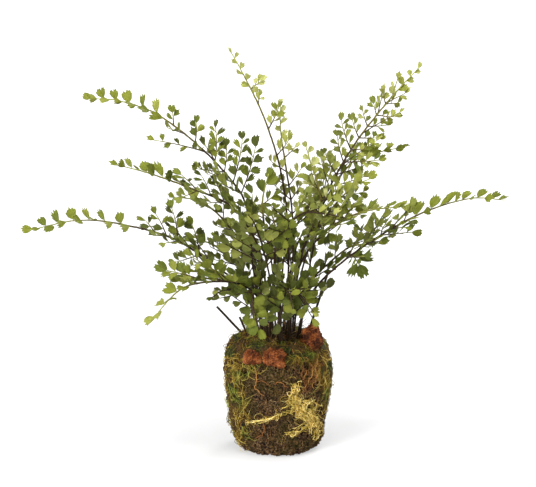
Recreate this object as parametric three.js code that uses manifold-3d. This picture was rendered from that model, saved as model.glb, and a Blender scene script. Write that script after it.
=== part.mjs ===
// A maidenhair fern standing in a bare root ball that is covered with moss.
// Millimetres, +Z up. The origin is the centre of the ball's flat underside, and -Y is the front.

import * as THREE from 'three';
import { mergeVertices } from 'three/addons/utils/BufferGeometryUtils.js';
import Module from 'manifold-3d';

const wasm = await Module();
wasm.setup();

// ---- Driving dimensions: the root ball ----

const GAP = 0.3; // a stem's foot stands this far off the bottom of its hole
const SEAT = 0.4; // between the ball and what lies on it
const BALL_SIDES = 32;
const BALL_RELIEF = 1.5; // how far the lumps of peat stand out or in
const RELIEF_RADIUS = 40; // nearer the axis than this, the lumps fade out
// Radius and height of the ball's outline, from the middle of the flat underside to the crown
const BALL_OUTLINE = [
  [0, 0], [34, 0], [39, 3], [43, 11], [45.5, 24], [46.5, 42], [48.5, 60],
  [50, 78], [49.5, 91], [47, 102], [40.5, 110], [31, 113.5], [0, 116],
];

// Moss sheets: the cells of the ball's grid that each covers, as [band, first side, last side], and the
// thickness of its thickest lump. Bands lie between two points of the outline, counted from the middle of the
// underside. Sides are counted from +X towards the back, and past the last one they start again.
const MOSS_SHEETS = [
  { name: 'moss_green', colour: 'moss', thick: 4,
    cells: [[3, 16, 18], [4, 15, 19], [5, 14, 19], [6, 14, 18], [7, 14, 19], [8, 13, 20], // left
      [3, 7, 9], [4, 5, 10], [5, 5, 11], [6, 6, 10], [7, 7, 10], [8, 6, 10], // back
      [5, 31, 32], [6, 30, 32], [7, 29, 32], [8, 29, 33], // right
      [9, 0, 31], [10, 0, 31]] }, // crown
  { name: 'moss_pale', colour: 'pale_moss', thick: 3.6,
    cells: [[3, 26, 29], [4, 24, 29], [5, 25, 28], [6, 25, 26]] },
];
const MOSS_THINNEST = 0.6; // the thinnest lump, as a share of the thickest
const MOSS_EDGE = 1; // thickness along a sheet's edge

// Bark chunks: centre, size and turn about Z in degrees
const CHUNKS = [
  { name: 'chunk_left', at: [-25, -42, 105], size: [19, 13, 17], turn: 20 },
  { name: 'chunk_middle', at: [-3, -46, 105], size: [24, 13, 21], turn: -8 },
  { name: 'chunk_right', at: [33, -21, 117], size: [22, 19, 31], turn: 35 },
];
const CHUNK_DETAIL = 1;
const CHUNK_LUMPS = 0.08; // how far each wave of lumps stands out or in, as a share of the radius
const CHUNK_WAVES = [17, 19, 15]; // radians of the waves along X, Y and Z, from side to side

// ---- Driving dimensions: stems ----

const STEM_SIDES = 4;
const SMOOTHNESS = 0.5; // of the curve through a stem's points
const STEM_STEP = 22; // mm of stem to one straight run of the tube
const FEWEST_STEPS = 11; // straight runs in a frond's stem
const FEWEST_STUB_STEPS = 2;
const TWIG_RADIUS = 0.7; // of a frond's stem where its single leaflets begin
const STUB_TAPER = 0.9; // a stub's radius at its cut end, as a share of that at its foot
const HOLE_PLAY = 0.8; // a stem's hole is this much wider all round
const HOLE_RUN = 26; // length of the hole, from the foot up past the moss

// Stems cut off above the soil: the path from the foot in the ball to the cut end, and the radius at the foot
const STUBS = [
  { name: 'stub_left_long', path: [[-27, 11, 104], [-44, 13, 122], [-62, 16, 141]], radius: 1.2 },
  { name: 'stub_left_short', path: [[-27, 3, 104], [-32, 3, 117], [-39, 2, 134]], radius: 1.1 },
  { name: 'stub_left_tall', path: [[-16, 22, 104], [-21, 22, 152], [-25, 21, 201]], radius: 1.5 },
  { name: 'stub_right', path: [[26, 3, 104], [36, 2, 137], [50, 3, 181]], radius: 1.2 },
  { name: 'stub_front', path: [[15, -28, 106], [6, -28, 118], [-5, -27, 131]], radius: 1 },
  { name: 'stub_middle', path: [[-10, -8, 104], [-6, -11, 160], [-3, -12, 210]], radius: 1.4 },
];

// ---- Driving dimensions: fronds ----

const BLADE = 0.7; // thickness of every leaf blade
const RIB = 0.5; // half the width of a spray's rib
const NECK = 0.5; // half the width of a leaflet's foot on the rib
const FLARE = 1.15; // the foot's far end stands this much further out than the rib's edge
const ROOT = 0.5; // how far past the middle of its stem a spray begins
const SPRAY_SPACING = 14; // along a frond, between one side spray and the next
const SPRAY_ANGLE = 56; // degrees between a frond and its side sprays
const LEAFLET_ANGLE = 52; // degrees between a rib and its leaflets
const LEAFLET_STEP = 0.75; // of a leaflet's length, from one leaflet to the next on the other side
const SINGLE_STALK = 0.5; // bare rib before the first single leaflet, as a share of its length
const SPRAY_STALK = 0.55; // the same before the first leaflet of a side spray
const SPRAY_STALK_MORE = 1; // and this much besides, from the middle of the stem
const END_FOLD = 0.6; // how far a frond's end folds up along its rib, as a share of the lift
const FEWEST_SINGLES = 2;
const FEWEST_SPRAYS = 2;
const ARCH = 0.012; // fall of a blade at one mm from its rib, growing with the square
const DROOP = 0.1; // fall of a side spray's tip, as a share of its length
const FORWARD = 0.16; // its bend towards the frond's tip, as a share of its length
const SPARED = [2, 4]; // of every five side sprays of the real frond, counted from 0, these are left out
const SPARED_FROM = 5;
const CLEARANCE = 2.8; // between the sample points of two sprays
const TURNS = [0, 17, -17, 34, -34, 50]; // degrees a spray may be bent clear of its neighbours

// Leaflet sizes, as shares of the frond's own
const FIRST_SINGLE = 0.92;
const TIP_SINGLE = 0.66;
const SPRAY_END = 0.9; // the leaflet at a side spray's end, as a share of its first
const SPRAY_FALL = 0.16; // how much smaller the leaflets of the last side spray are

// How much the side sprays of a frond differ from each other
const SIZE_SPREAD = 0.16; // of a leaflet's length
const LIFT_SPREAD = 26; // degrees
const ANGLE_SPREAD = 14; // degrees
const COUNT_SPREAD = 1.4; // leaflets

// Outer margins of a leaflet, as shares of its length along and across it
const MARGIN_TINY = [[0.78, 0.46], [0.98, -0.05], [0.72, -0.45]];
const MARGIN_SMALL = [[0.72, 0.45], [0.98, 0.16], [0.8, -0.08], [0.8, -0.44]];
const MARGIN_MIDDLE = [[0.58, 0.46], [0.95, 0.27], [0.8, 0.02], [0.97, -0.24], [0.6, -0.46]];
const MARGIN_LARGE = [
  [0.52, 0.47], [0.86, 0.4], [0.77, 0.19], [1, 0.06], [0.8, -0.14], [0.93, -0.33], [0.55, -0.48],
];
const TINY_LEAFLET = 9.8; // leaflets shorter than this have the tiny margin
const SMALL_LEAFLET = 12.6; // and these the small one
const LARGE_LEAFLET = 13.8; // and these the middle one
// Where a leaflet is sampled for clearance, in the same shares
const LEAFLET_SAMPLES = [
  [0.25, 0], [0.5, 0.22], [0.5, -0.22], [0.75, 0.42], [0.75, 0.14], [0.75, -0.14], [0.75, -0.42],
  [0.97, 0.22], [0.97, -0.04], [0.97, -0.26],
];

// Each frond: the stem's radius at the foot, the leaflets on its longest side spray besides the end one, a
// leaflet's length, the shares of the path where side sprays and then single leaflets begin, the roll of the
// frond about its stem and the lift of its two halves in degrees, and the path from foot to tip
const FRONDS = [
  { name: 'frond_left_high', radius: 1.3, most: 5, leaf: 11.5,
    sprays: 0.44, singles: 0.76, roll: -40, lift: 34,
    path: [[-15, 6, 104], [-26, 6, 190], [-32, 9, 246], [-48, 13, 274], [-82, 19, 309], [-122, 26, 338],
      [-158, 31, 350], [-188, 34, 352]] },
  { name: 'frond_left_middle', radius: 1.3, most: 4, leaf: 13,
    sprays: 0.4, singles: 0.76, roll: -14, lift: 28,
    path: [[-11, -2, 104], [-14, -6, 180], [-24, -10, 219], [-48, -15, 254], [-86, -21, 273],
      [-130, -28, 291], [-166, -34, 302]] },
  { name: 'frond_left_far', radius: 1.3, most: 4, leaf: 12.5,
    sprays: 0.34, singles: 0.64, roll: -28, lift: 30,
    path: [[-19, -1, 104], [-32, -6, 162], [-58, -12, 187], [-102, -20, 220], [-150, -28, 237],
      [-198, -34, 244], [-250, -38, 234]] },
  { name: 'frond_left_low', radius: 1.1, most: 4, leaf: 14,
    sprays: 0.44, singles: 0.72, roll: 6, lift: 8,
    path: [[-15, -9, 104], [-20, -26, 159], [-38, -42, 180], [-64, -56, 187], [-92, -68, 185],
      [-110, -76, 172], [-126, -80, 152]] },
  { name: 'frond_top', radius: 1.3, most: 3, leaf: 10.5,
    sprays: 0.6, singles: 0.82, roll: 82, lift: 10,
    path: [[4, 5, 104], [10, 6, 180], [8, 9, 243], [0, 13, 292], [-16, 18, 340], [-34, 23, 377],
      [-50, 27, 406]] },
  { name: 'frond_top_right', radius: 1.3, most: 5, leaf: 9.8,
    sprays: 0.46, singles: 0.86, roll: 78, lift: 6,
    path: [[10, -2, 104], [18, 1, 183], [34, 4, 227], [50, 8, 265], [76, 14, 310], [108, 20, 351],
      [142, 26, 388]] },
  { name: 'frond_right_far', radius: 1.3, most: 4, leaf: 13,
    sprays: 0.38, singles: 0.66, roll: 10, lift: 26,
    path: [[16, -9, 104], [30, -14, 158], [62, -24, 197], [108, -35, 233], [148, -42, 256],
      [190, -48, 270], [224, -51, 269]] },
  { name: 'frond_front_right', radius: 1.3, most: 4, leaf: 13,
    sprays: 0.5, singles: 0.8, roll: 14, lift: 22,
    path: [[5, -9, 104], [14, -16, 165], [26, -22, 204], [54, -32, 238], [88, -43, 256], [126, -52, 263]] },
  { name: 'frond_front', radius: 1.1, most: 4, leaf: 14.5,
    sprays: 0.5, singles: 0.78, roll: 0, lift: 6,
    path: [[-5, -9, 104], [-8, -26, 175], [-16, -46, 220], [-24, -66, 249], [-30, -84, 263]] },
  { name: 'frond_front_low_left', radius: 1, most: 3, leaf: 14.5,
    sprays: 0.45, singles: 0.75, roll: 0, lift: 6,
    path: [[-9, -16, 104], [-16, -36, 165], [-24, -54, 176], [-26, -70, 168], [-24, -78, 148]] },
  { name: 'frond_front_low_right', radius: 1, most: 3, leaf: 14,
    sprays: 0.45, singles: 0.75, roll: 0, lift: 6,
    path: [[9, -16, 104], [12, -36, 165], [18, -54, 175], [28, -70, 169], [38, -78, 157]] },
  { name: 'frond_front_small_left', radius: 1, most: 2, leaf: 13,
    sprays: 0.45, singles: 0.76, roll: 0, lift: 8,
    path: [[-17, -16, 104], [-24, -26, 148], [-36, -36, 170], [-54, -46, 176], [-68, -54, 168]] },
  { name: 'frond_front_small_middle', radius: 1, most: 2, leaf: 14,
    sprays: 0.45, singles: 0.76, roll: 0, lift: 6,
    path: [[1, -29, 106], [3, -41, 150], [7, -55, 175], [11, -72, 178], [14, -86, 166]] },
  { name: 'frond_front_level', radius: 1.1, most: 4, leaf: 13,
    sprays: 0.56, singles: 0.82, roll: 0, lift: 8,
    path: [[0, -17, 104], [4, -34, 192], [10, -52, 239], [24, -72, 261], [46, -90, 265], [68, -104, 264]] },
  { name: 'frond_pale', radius: 1.1, most: 3, leaf: 11,
    sprays: 0.45, singles: 0.8, roll: 12, lift: 10,
    path: [[9, 13, 104], [14, 18, 178], [14, 23, 234], [8, 28, 279], [2, 32, 320], [2, 34, 348]] },
  { name: 'frond_short_middle', radius: 1, most: 3, leaf: 10.5,
    sprays: 0.56, singles: 0.86, roll: -56, lift: 8,
    path: [[20, -2, 104], [32, -6, 193], [42, -8, 242], [40, -8, 270], [32, -7, 296], [26, -6, 317]] },
  { name: 'frond_short_left', radius: 1, most: 3, leaf: 12,
    sprays: 0.56, singles: 0.86, roll: -76, lift: 10,
    path: [[-2, -2, 104], [-6, -2, 184], [-14, -4, 231], [-16, -2, 256], [-10, 0, 283]] },
  { name: 'frond_left_inner', radius: 1.1, most: 4, leaf: 11.5,
    sprays: 0.45, singles: 0.8, roll: -24, lift: 24,
    path: [[-7, 6, 104], [-19, 15, 176], [-36, 18, 205], [-60, 22, 235], [-82, 26, 249], [-110, 30, 251]] },
  { name: 'frond_right_inner', radius: 1.1, most: 3, leaf: 11.5,
    sprays: 0.5, singles: 0.82, roll: 40, lift: 12,
    path: [[14, 5, 104], [24, 4, 184], [42, 2, 229], [58, 0, 253], [74, -3, 270], [92, -6, 280]] },
  { name: 'frond_right_upper', radius: 1.2, most: 4, leaf: 11.5,
    sprays: 0.5, singles: 0.8, roll: 8, lift: 20,
    path: [[13, 20, 104], [22, 26, 185], [44, 34, 241], [74, 42, 284], [106, 50, 294], [126, 55, 296]] },
  { name: 'frond_back_left', radius: 1.2, most: 3, leaf: 12.5,
    sprays: 0.4, singles: 0.8, roll: 0, lift: 20,
    path: [[-20, 13, 104], [-28, 26, 161], [-48, 42, 184], [-70, 58, 196], [-94, 72, 195]] },
  { name: 'frond_back_inner_left', radius: 1.2, most: 3, leaf: 12.5,
    sprays: 0.4, singles: 0.8, roll: 0, lift: 18,
    path: [[-10, 13, 104], [-14, 34, 169], [-26, 60, 193], [-40, 86, 204], [-56, 110, 199]] },
  { name: 'frond_back', radius: 1.2, most: 3, leaf: 12.5,
    sprays: 0.4, singles: 0.8, roll: 0, lift: 18,
    path: [[0, 13, 104], [0, 36, 174], [-2, 66, 202], [-6, 96, 214], [-10, 126, 209]] },
  { name: 'frond_back_inner_right', radius: 1.2, most: 3, leaf: 12.5,
    sprays: 0.4, singles: 0.8, roll: 0, lift: 18,
    path: [[3, 20, 104], [12, 40, 170], [22, 66, 199], [36, 92, 208], [52, 116, 202]] },
  { name: 'frond_back_right', radius: 1.2, most: 3, leaf: 12.5,
    sprays: 0.4, singles: 0.8, roll: 0, lift: 20,
    path: [[19, 12, 104], [32, 24, 161], [52, 38, 181], [74, 52, 194], [102, 66, 193]] },
];

// ---- Colours ----

const COLOURS = {
  peat: { color: 0x4a3826, roughness: 0.95 },
  moss: { color: 0x6b7a2a, roughness: 0.95 },
  pale_moss: { color: 0xd0bd62, roughness: 0.95 },
  bark: { color: 0xac5a2c, roughness: 0.9 },
  stem: { color: 0x3a2620, roughness: 0.5 },
  leaf: { color: 0x5f7d35, roughness: 0.55 },
};

// ---- Small tools ----

const UP = new THREE.Vector3(0, 0, 1);
const SAME_POINT = 1e-4; // vertices nearer than this are one

function radians(degrees) {
  return THREE.MathUtils.degToRad(degrees);
}

function vector(xyz) {
  return new THREE.Vector3(...xyz);
}

// A number from 0 to 1 that is always the same for the same three numbers
function draw(a, b, c) {
  const wave = Math.sin(a * 12.9898 + b * 78.233 + c * 37.719) * 4375.5453;
  return wave - Math.floor(wave);
}

function solidOf(positions, faces) {
  return new wasm.Manifold(
    new wasm.Mesh({
      numProp: 3,
      vertProperties: new Float32Array(positions),
      triVerts: new Uint32Array(faces),
    }),
  );
}

// A closed three.js geometry as a solid that can be cut and joined
function toSolid(geometry) {
  geometry.deleteAttribute('normal');
  geometry.deleteAttribute('uv');
  const merged = mergeVertices(geometry, SAME_POINT);
  return solidOf(merged.attributes.position.array, merged.index.array);
}

// The largest body of a solid, without the scraps that a cut leaves loose
function mainBody(solid) {
  return solid.decompose().reduce((largest, body) => (body.volume() > largest.volume() ? body : largest));
}

function toMesh(name, solid, colour) {
  const { vertProperties, triVerts } = solid.getMesh();
  const geometry = new THREE.BufferGeometry();
  geometry.setAttribute('position', new THREE.BufferAttribute(vertProperties, 3));
  geometry.setIndex(new THREE.BufferAttribute(triVerts, 1));
  const mesh = new THREE.Mesh(geometry, new THREE.MeshStandardMaterial({ metalness: 0, ...COLOURS[colour] }));
  mesh.name = name;
  return mesh;
}

// ---- Root ball ----

// Lumps of peat: a formula of the angle round the ball and the height
function lumps(angle, z) {
  const broad = Math.sin(3 * angle + 0.05 * z) + 0.6 * Math.sin(5 * angle - 0.08 * z + 2);
  const fine = 0.8 * Math.sin(9 * angle + 0.13 * z + 1) * Math.sin(0.11 * z + 2 * angle);
  return (broad + fine) / 2;
}

// Outward direction of the outline at one of its points, as radius and height
function outlineNormal(row) {
  const before = BALL_OUTLINE[Math.max(row - 1, 0)];
  const after = BALL_OUTLINE[Math.min(row + 1, BALL_OUTLINE.length - 1)];
  return new THREE.Vector2(after[1] - before[1], before[0] - after[0]).normalize();
}

// A point of the ball's surface, lifted off it
function ballPoint(row, side, lift) {
  const [radius, z] = BALL_OUTLINE[row];
  const angle = (side / BALL_SIDES) * 2 * Math.PI;
  const relief = z > 0 ? BALL_RELIEF * lumps(angle, z) * Math.min(1, radius / RELIEF_RADIUS) : 0;
  const normal = outlineNormal(row);
  const out = radius > 0 ? radius + normal.x * (relief + lift) : 0;
  return [out * Math.cos(angle), out * Math.sin(angle), z + (z > 0 ? normal.y * (relief + lift) : -lift)];
}

function ballSolid(lift) {
  const profile = BALL_OUTLINE.map(([radius, z]) => new THREE.Vector2(radius, z));
  const geometry = new THREE.LatheGeometry(profile, BALL_SIDES);
  const { position } = geometry.attributes;
  for (let i = 0; i < position.count; i++) {
    const row = i % BALL_OUTLINE.length;
    const side = Math.floor(i / BALL_OUTLINE.length) % BALL_SIDES;
    position.setXYZ(i, ...ballPoint(row, side, lift));
  }
  return toSolid(geometry);
}

// A lumpy sheet of moss over some cells of the ball's grid, thin along its edge
function mossSheet({ cells: spans, thick }) {
  const covered = new Set();
  for (const [band, first, last] of spans) {
    for (let side = first; side <= last; side++) {
      covered.add(`${band} ${side % BALL_SIDES}`);
    }
  }
  const covers = (band, side) => covered.has(`${band} ${(side + BALL_SIDES) % BALL_SIDES}`);
  const positions = [];
  const known = new Map();
  const corner = (row, side, layer) => {
    const key = [row, side % BALL_SIDES, layer].join();
    if (!known.has(key)) {
      const around = [row, row - 1].flatMap((band) => [covers(band, side), covers(band, side - 1)]);
      const share = THREE.MathUtils.lerp(MOSS_THINNEST, 1, draw(row, side % BALL_SIDES, thick));
      const thickness = around.every(Boolean) ? thick * share : MOSS_EDGE;
      known.set(key, positions.length / 3);
      positions.push(...ballPoint(row, side, SEAT + layer * thickness));
    }
    return known.get(key);
  };
  const faces = [];
  const quad = (a, b, c, d) => faces.push(a, b, d, c, d, b);
  for (const key of covered) {
    const [row, side] = key.split(' ').map(Number);
    const corners = [[row, side], [row, side + 1], [row + 1, side + 1], [row + 1, side]];
    const [low, lowNext, highNext, high] = corners.map(([r, s]) => corner(r, s, 0));
    const [lowOut, lowNextOut, highNextOut, highOut] = corners.map(([r, s]) => corner(r, s, 1));
    quad(lowOut, lowNextOut, highNextOut, highOut);
    faces.push(low, high, lowNext, highNext, lowNext, high);
    if (!covers(row - 1, side)) {
      quad(low, lowNext, lowNextOut, lowOut);
    }
    if (!covers(row + 1, side)) {
      quad(highOut, highNextOut, highNext, high);
    }
    if (!covers(row, side - 1)) {
      quad(low, lowOut, highOut, high);
    }
    if (!covers(row, side + 1)) {
      quad(lowNextOut, lowNext, highNext, highNextOut);
    }
  }
  return solidOf(positions, faces);
}

function chunkSolid({ at, size, turn }, margin = 0) {
  const geometry = new THREE.IcosahedronGeometry(0.5, CHUNK_DETAIL);
  const { position } = geometry.attributes;
  const point = new THREE.Vector3();
  for (let i = 0; i < position.count; i++) {
    point.fromBufferAttribute(position, i);
    const waves = point.toArray().map((value, axis) => Math.sin(CHUNK_WAVES[axis] * value + at[axis]));
    point.multiplyScalar(1 + CHUNK_LUMPS * (waves[0] + waves[1] + waves[2]));
    point.multiply(vector(size).addScalar(2 * margin)).applyAxisAngle(UP, radians(turn)).add(vector(at));
    position.setXYZ(i, ...point);
  }
  return toSolid(geometry);
}

// ---- Stems ----

function curveThrough(points) {
  return new THREE.CatmullRomCurve3(points, false, 'catmullrom', SMOOTHNESS);
}

function stemSection(radius) {
  const corners = [];
  for (let i = 0; i < STEM_SIDES; i++) {
    const angle = (2 * Math.PI * i) / STEM_SIDES;
    corners.push(new THREE.Vector2(radius * Math.cos(angle), radius * Math.sin(angle)));
  }
  return new THREE.Shape(corners);
}

// A stem from the start of a curve to a share of it, tapering from one radius to another
function stemSolid(curve, end, startRadius, endRadius, fewest) {
  const steps = Math.max(fewest, Math.ceil((curve.getLength() * end) / STEM_STEP));
  const points = [];
  for (let i = 0; i <= steps; i++) {
    points.push(curve.getPointAt((end * i) / steps));
  }
  const stretch = curveThrough(points);
  const options = { steps, extrudePath: stretch, bevelEnabled: false };
  const geometry = new THREE.ExtrudeGeometry(stemSection(startRadius), options);
  const centres = points.map((_, i) => stretch.getPointAt(i / steps));
  const { position } = geometry.attributes;
  const vertex = new THREE.Vector3();
  for (let i = 0; i < position.count; i++) {
    vertex.fromBufferAttribute(position, i);
    const distances = centres.map((centre) => centre.distanceToSquared(vertex));
    const step = distances.indexOf(Math.min(...distances));
    const radius = THREE.MathUtils.lerp(startRadius, endRadius, step / steps);
    vertex.sub(centres[step]).multiplyScalar(radius / startRadius).add(centres[step]);
    position.setXYZ(i, ...vertex);
  }
  return toSolid(geometry);
}

// The plain hole that a stem stands in: straight, from just under its foot to above the moss
function holeSolid(path, radius) {
  const curve = curveThrough(path.map(vector));
  const foot = curve.getPointAt(0);
  const along = curve.getPointAt(HOLE_RUN / 2 / curve.getLength()).sub(foot).normalize();
  const bottom = foot.clone().addScaledVector(along, -GAP);
  const top = foot.clone().addScaledVector(along, HOLE_RUN);
  const extrudePath = new THREE.LineCurve3(bottom, top);
  const options = { steps: 1, extrudePath, bevelEnabled: false };
  return toSolid(new THREE.ExtrudeGeometry(stemSection(radius + HOLE_PLAY), options));
}

// ---- Leaf blades ----

// A thin blade: a flat outline, split into triangles alike on both faces and laid on a curved surface.
// surface(x, y) gives a point and the direction across the blade there.
function bladeSolid(outline, surface) {
  const contour = THREE.ShapeUtils.area(outline) < 0 ? [...outline].reverse() : outline;
  const count = contour.length;
  const positions = [];
  for (const half of [BLADE / 2, -BLADE / 2]) {
    for (const { x, y } of contour) {
      const { point, normal } = surface(x, y);
      positions.push(...point.addScaledVector(normal, half));
    }
  }
  const faces = [];
  for (const [a, b, c] of THREE.ShapeUtils.triangulateShape(contour, [])) {
    faces.push(a, b, c, count + a, count + c, count + b);
  }
  for (let i = 0; i < count; i++) {
    const next = (i + 1) % count;
    faces.push(i, count + i, next, next, count + i, count + next);
  }
  return solidOf(positions, faces);
}

function marginOf(size) {
  if (size < SMALL_LEAFLET) {
    return size < TINY_LEAFLET ? MARGIN_TINY : MARGIN_SMALL;
  }
  return size < LARGE_LEAFLET ? MARGIN_MIDDLE : MARGIN_LARGE;
}

// A point given along and across a leaflet that leaves the rib at x, on the side +1 or -1, or 0 at its end
function onLeaflet({ x, side, size }, along, across) {
  const angle = radians(LEAFLET_ANGLE) * side;
  const foot = new THREE.Vector2(x, side * RIB);
  return new THREE.Vector2(along * size, across * size).rotateAround(new THREE.Vector2(), angle).add(foot);
}

// The leaflets of a spray: alternate, a step apart, growing smaller towards the one at the end
function leafletsOf(stalk, count, size, endSize) {
  const leaflets = [];
  let x = stalk;
  for (let i = 0; i <= count; i++) {
    const here = THREE.MathUtils.lerp(size, endSize, count ? i / count : 0);
    leaflets.push({ x, side: i === count ? 0 : i % 2 ? -1 : 1, size: here });
    x += LEAFLET_STEP * here;
  }
  return leaflets;
}

// The outline of a spray: up one edge of the rib, round the end leaflet and down the other edge, with every
// leaflet cut to the rib
function sprayOutline(leaflets, start) {
  const outline = [new THREE.Vector2(start, -RIB)];
  const add = (leaflet, backwards) => {
    const margin = marginOf(leaflet.size).map(([along, across]) => onLeaflet(leaflet, along, across));
    const near = new THREE.Vector2(leaflet.x - NECK, leaflet.side * RIB);
    const far = new THREE.Vector2(leaflet.x + NECK, leaflet.side * RIB * FLARE);
    const round = [near, ...(leaflet.side > 0 ? margin : margin.reverse()), far];
    outline.push(...(backwards ? round.reverse() : round));
  };
  const lower = leaflets.filter((leaflet) => leaflet.side < 0);
  lower.forEach((leaflet) => add(leaflet, false));
  const end = leaflets.at(-1);
  outline.push(new THREE.Vector2(end.x, -RIB));
  outline.push(...marginOf(end.size).map(([along, across]) => onLeaflet(end, along, across)).reverse());
  outline.push(new THREE.Vector2(end.x, RIB));
  const upper = leaflets.filter((leaflet) => leaflet.side > 0);
  upper.reverse().forEach((leaflet) => add(leaflet, true));
  outline.push(new THREE.Vector2(start, RIB));
  return outline;
}

function samplesOf(leaflets, surface) {
  const samples = leaflets.map(({ x }) => surface(x, 0).point);
  for (const leaflet of leaflets) {
    for (const [along, across] of LEAFLET_SAMPLES) {
      const { x, y } = onLeaflet(leaflet, along, across);
      samples.push(surface(x, y).point);
    }
  }
  return samples;
}

// ---- Clearance: points of what stands already, kept in cells as wide as the clearance ----

const cells = new Map();

function cellOf(point) {
  return point.toArray().map((value) => Math.floor(value / CLEARANCE));
}

function keep(points, owner) {
  for (const point of points) {
    const key = cellOf(point).join();
    cells.set(key, [...(cells.get(key) ?? []), { point, owner }]);
  }
}

function isClear(points, owner) {
  const steps = [-1, 0, 1];
  return points.every((point) => {
    const [i, j, k] = cellOf(point);
    return steps.every((di) => steps.every((dj) => steps.every((dk) => {
      const near = cells.get([i + di, j + dj, k + dk].join()) ?? [];
      return near.every((kept) => kept.owner === owner || kept.point.distanceTo(point) > CLEARANCE);
    })));
  });
}

// ---- Fronds ----

// Where a frond is at a share of its path: its place, its direction and the directions of its two halves
function frameAt(frond, share, turn = 0) {
  const point = frond.curve.getPointAt(share);
  const along = frond.curve.getTangentAt(share);
  const heading = vector(frond.path.at(-1)).sub(vector(frond.path[0])).setZ(0).normalize();
  const across = new THREE.Vector3(-heading.y, heading.x, 0);
  across.addScaledVector(along, -across.dot(along)).normalize();
  const over = along.clone().cross(across);
  const roll = radians(frond.roll + turn);
  const side = across.clone().multiplyScalar(Math.cos(roll)).addScaledVector(over, Math.sin(roll));
  const normal = along.clone().cross(side);
  return { point, along, side, normal };
}

function halfDirection({ side, normal }, sign, lift) {
  return side.clone().multiplyScalar(sign * Math.cos(lift)).addScaledVector(normal, Math.sin(lift));
}

// The end of a frond: one blade along its path, folded upwards along the rib, with single leaflets
function endSpray(frond, turn) {
  const length = frond.curve.getLength();
  const start = frond.singles * length;
  const run = length - start;
  const size = frond.leaf * FIRST_SINGLE;
  const endSize = frond.leaf * TIP_SINGLE;
  const step = (LEAFLET_STEP * (size + endSize)) / 2;
  const count = Math.max(FEWEST_SINGLES, Math.floor((run - endSize) / step));
  const leaflets = leafletsOf(size * SINGLE_STALK, count, size, endSize);
  const surface = (x, y) => {
    const frame = frameAt(frond, Math.min((start + x) / length, 1), turn);
    const half = halfDirection(frame, Math.sign(y) || 1, radians(frond.lift * END_FOLD));
    const beyond = Math.max(start + x - length, 0);
    frame.point.addScaledVector(half, Math.abs(y)).addScaledVector(frame.along, beyond);
    return { point: frame.point, normal: frame.normal };
  };
  return { leaflets, surface, start: -2 * ROOT };
}

// A side spray: leaflets on a rib that leaves the frond at an angle, bends forward and droops
function sideSpray(frond, index, count, turn) {
  const u = (index + 0.5) / count;
  const share = THREE.MathUtils.lerp(frond.sprays, frond.singles, u);
  const frame = frameAt(frond, share);
  const sign = index % 2 ? -1 : 1;
  const jitter = (k) => draw(frond.seed, index, k);
  const lift = radians(frond.lift + turn + LIFT_SPREAD * (jitter(1) - 0.5));
  const angle = radians(SPRAY_ANGLE + ANGLE_SPREAD * (jitter(2) - 0.5));
  const out = halfDirection(frame, sign, lift);
  const rib = frame.along.clone().multiplyScalar(Math.cos(angle)).addScaledVector(out, Math.sin(angle));
  const across = frame.along.clone().addScaledVector(rib, -frame.along.dot(rib)).normalize();
  const normal = rib.clone().cross(across);
  const size = frond.leaf * (1 - SPRAY_FALL * u) * (1 + SIZE_SPREAD * (jitter(3) - 0.5));
  const most = Math.round(THREE.MathUtils.lerp(frond.most, 1, u) + COUNT_SPREAD * (jitter(4) - 0.5));
  const stalk = size * SPRAY_STALK + SPRAY_STALK_MORE;
  const leaflets = leafletsOf(stalk, Math.max(most, 0), size, size * SPRAY_END);
  const length = leaflets.at(-1).x + size;
  const surface = (x, y) => {
    const point = frame.point.clone().addScaledVector(rib, x);
    point.addScaledVector(across, (FORWARD * x * Math.abs(x)) / length + y);
    point.addScaledVector(UP, (-DROOP * x * x) / length).addScaledVector(normal, -ARCH * y * y);
    return { point, normal };
  };
  return { leaflets, surface, start: -ROOT };
}

// The first turn of a spray at which it clears all that stands already, or nothing
function placeSpray(frond, makeSpray) {
  for (const turn of TURNS) {
    const spray = makeSpray(turn);
    const samples = samplesOf(spray.leaflets, spray.surface);
    if (isClear(samples, frond.name)) {
      keep(samples, `${frond.name} leaflets`);
      return spray;
    }
  }
  return null;
}

function frondSolid(frond) {
  const run = (frond.singles - frond.sprays) * frond.curve.getLength();
  const count = Math.max(FEWEST_SPRAYS, Math.round(run / SPRAY_SPACING));
  const sprays = [frond.end];
  for (let index = 0; index < count; index++) {
    const spray = placeSpray(frond, (turn) => sideSpray(frond, index, count, turn));
    if (spray && !SPARED.includes(index % SPARED_FROM)) {
      sprays.push(spray);
    }
  }
  let solid = stemSolid(frond.curve, frond.singles, frond.radius, TWIG_RADIUS, FEWEST_STEPS);
  for (const { leaflets, surface, start } of sprays) {
    solid = solid.add(bladeSolid(sprayOutline(leaflets, start), surface));
  }
  return solid;
}

// ---- The fern ----

const fern = new THREE.Group();
const grow = (stem, seed) => ({ ...stem, seed, curve: curveThrough(stem.path.map(vector)) });
const fronds = FRONDS.map(grow);
const stubs = STUBS.map(grow);

for (const { name, curve } of [...fronds, ...stubs]) {
  keep(curve.getSpacedPoints(Math.ceil(curve.getLength() / CLEARANCE)), name);
}

for (const frond of fronds) {
  frond.end = placeSpray(frond, (turn) => endSpray(frond, turn));
}
for (const frond of fronds) {
  fern.add(toMesh(frond.name, frondSolid(frond), 'leaf'));
}
for (const { name, curve, radius } of stubs) {
  const solid = stemSolid(curve, 1, radius, radius * STUB_TAPER, FEWEST_STUB_STEPS);
  fern.add(toMesh(name, solid, 'stem'));
}

const holes = [...FRONDS, ...STUBS].map(({ path, radius }) => holeSolid(path, radius));
const boredBy = (solid) => holes.reduce((left, hole) => left.subtract(hole), solid);
const seat = ballSolid(SEAT);
for (const chunk of CHUNKS) {
  fern.add(toMesh(chunk.name, mainBody(boredBy(chunkSolid(chunk).subtract(seat))), 'bark'));
}

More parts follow.
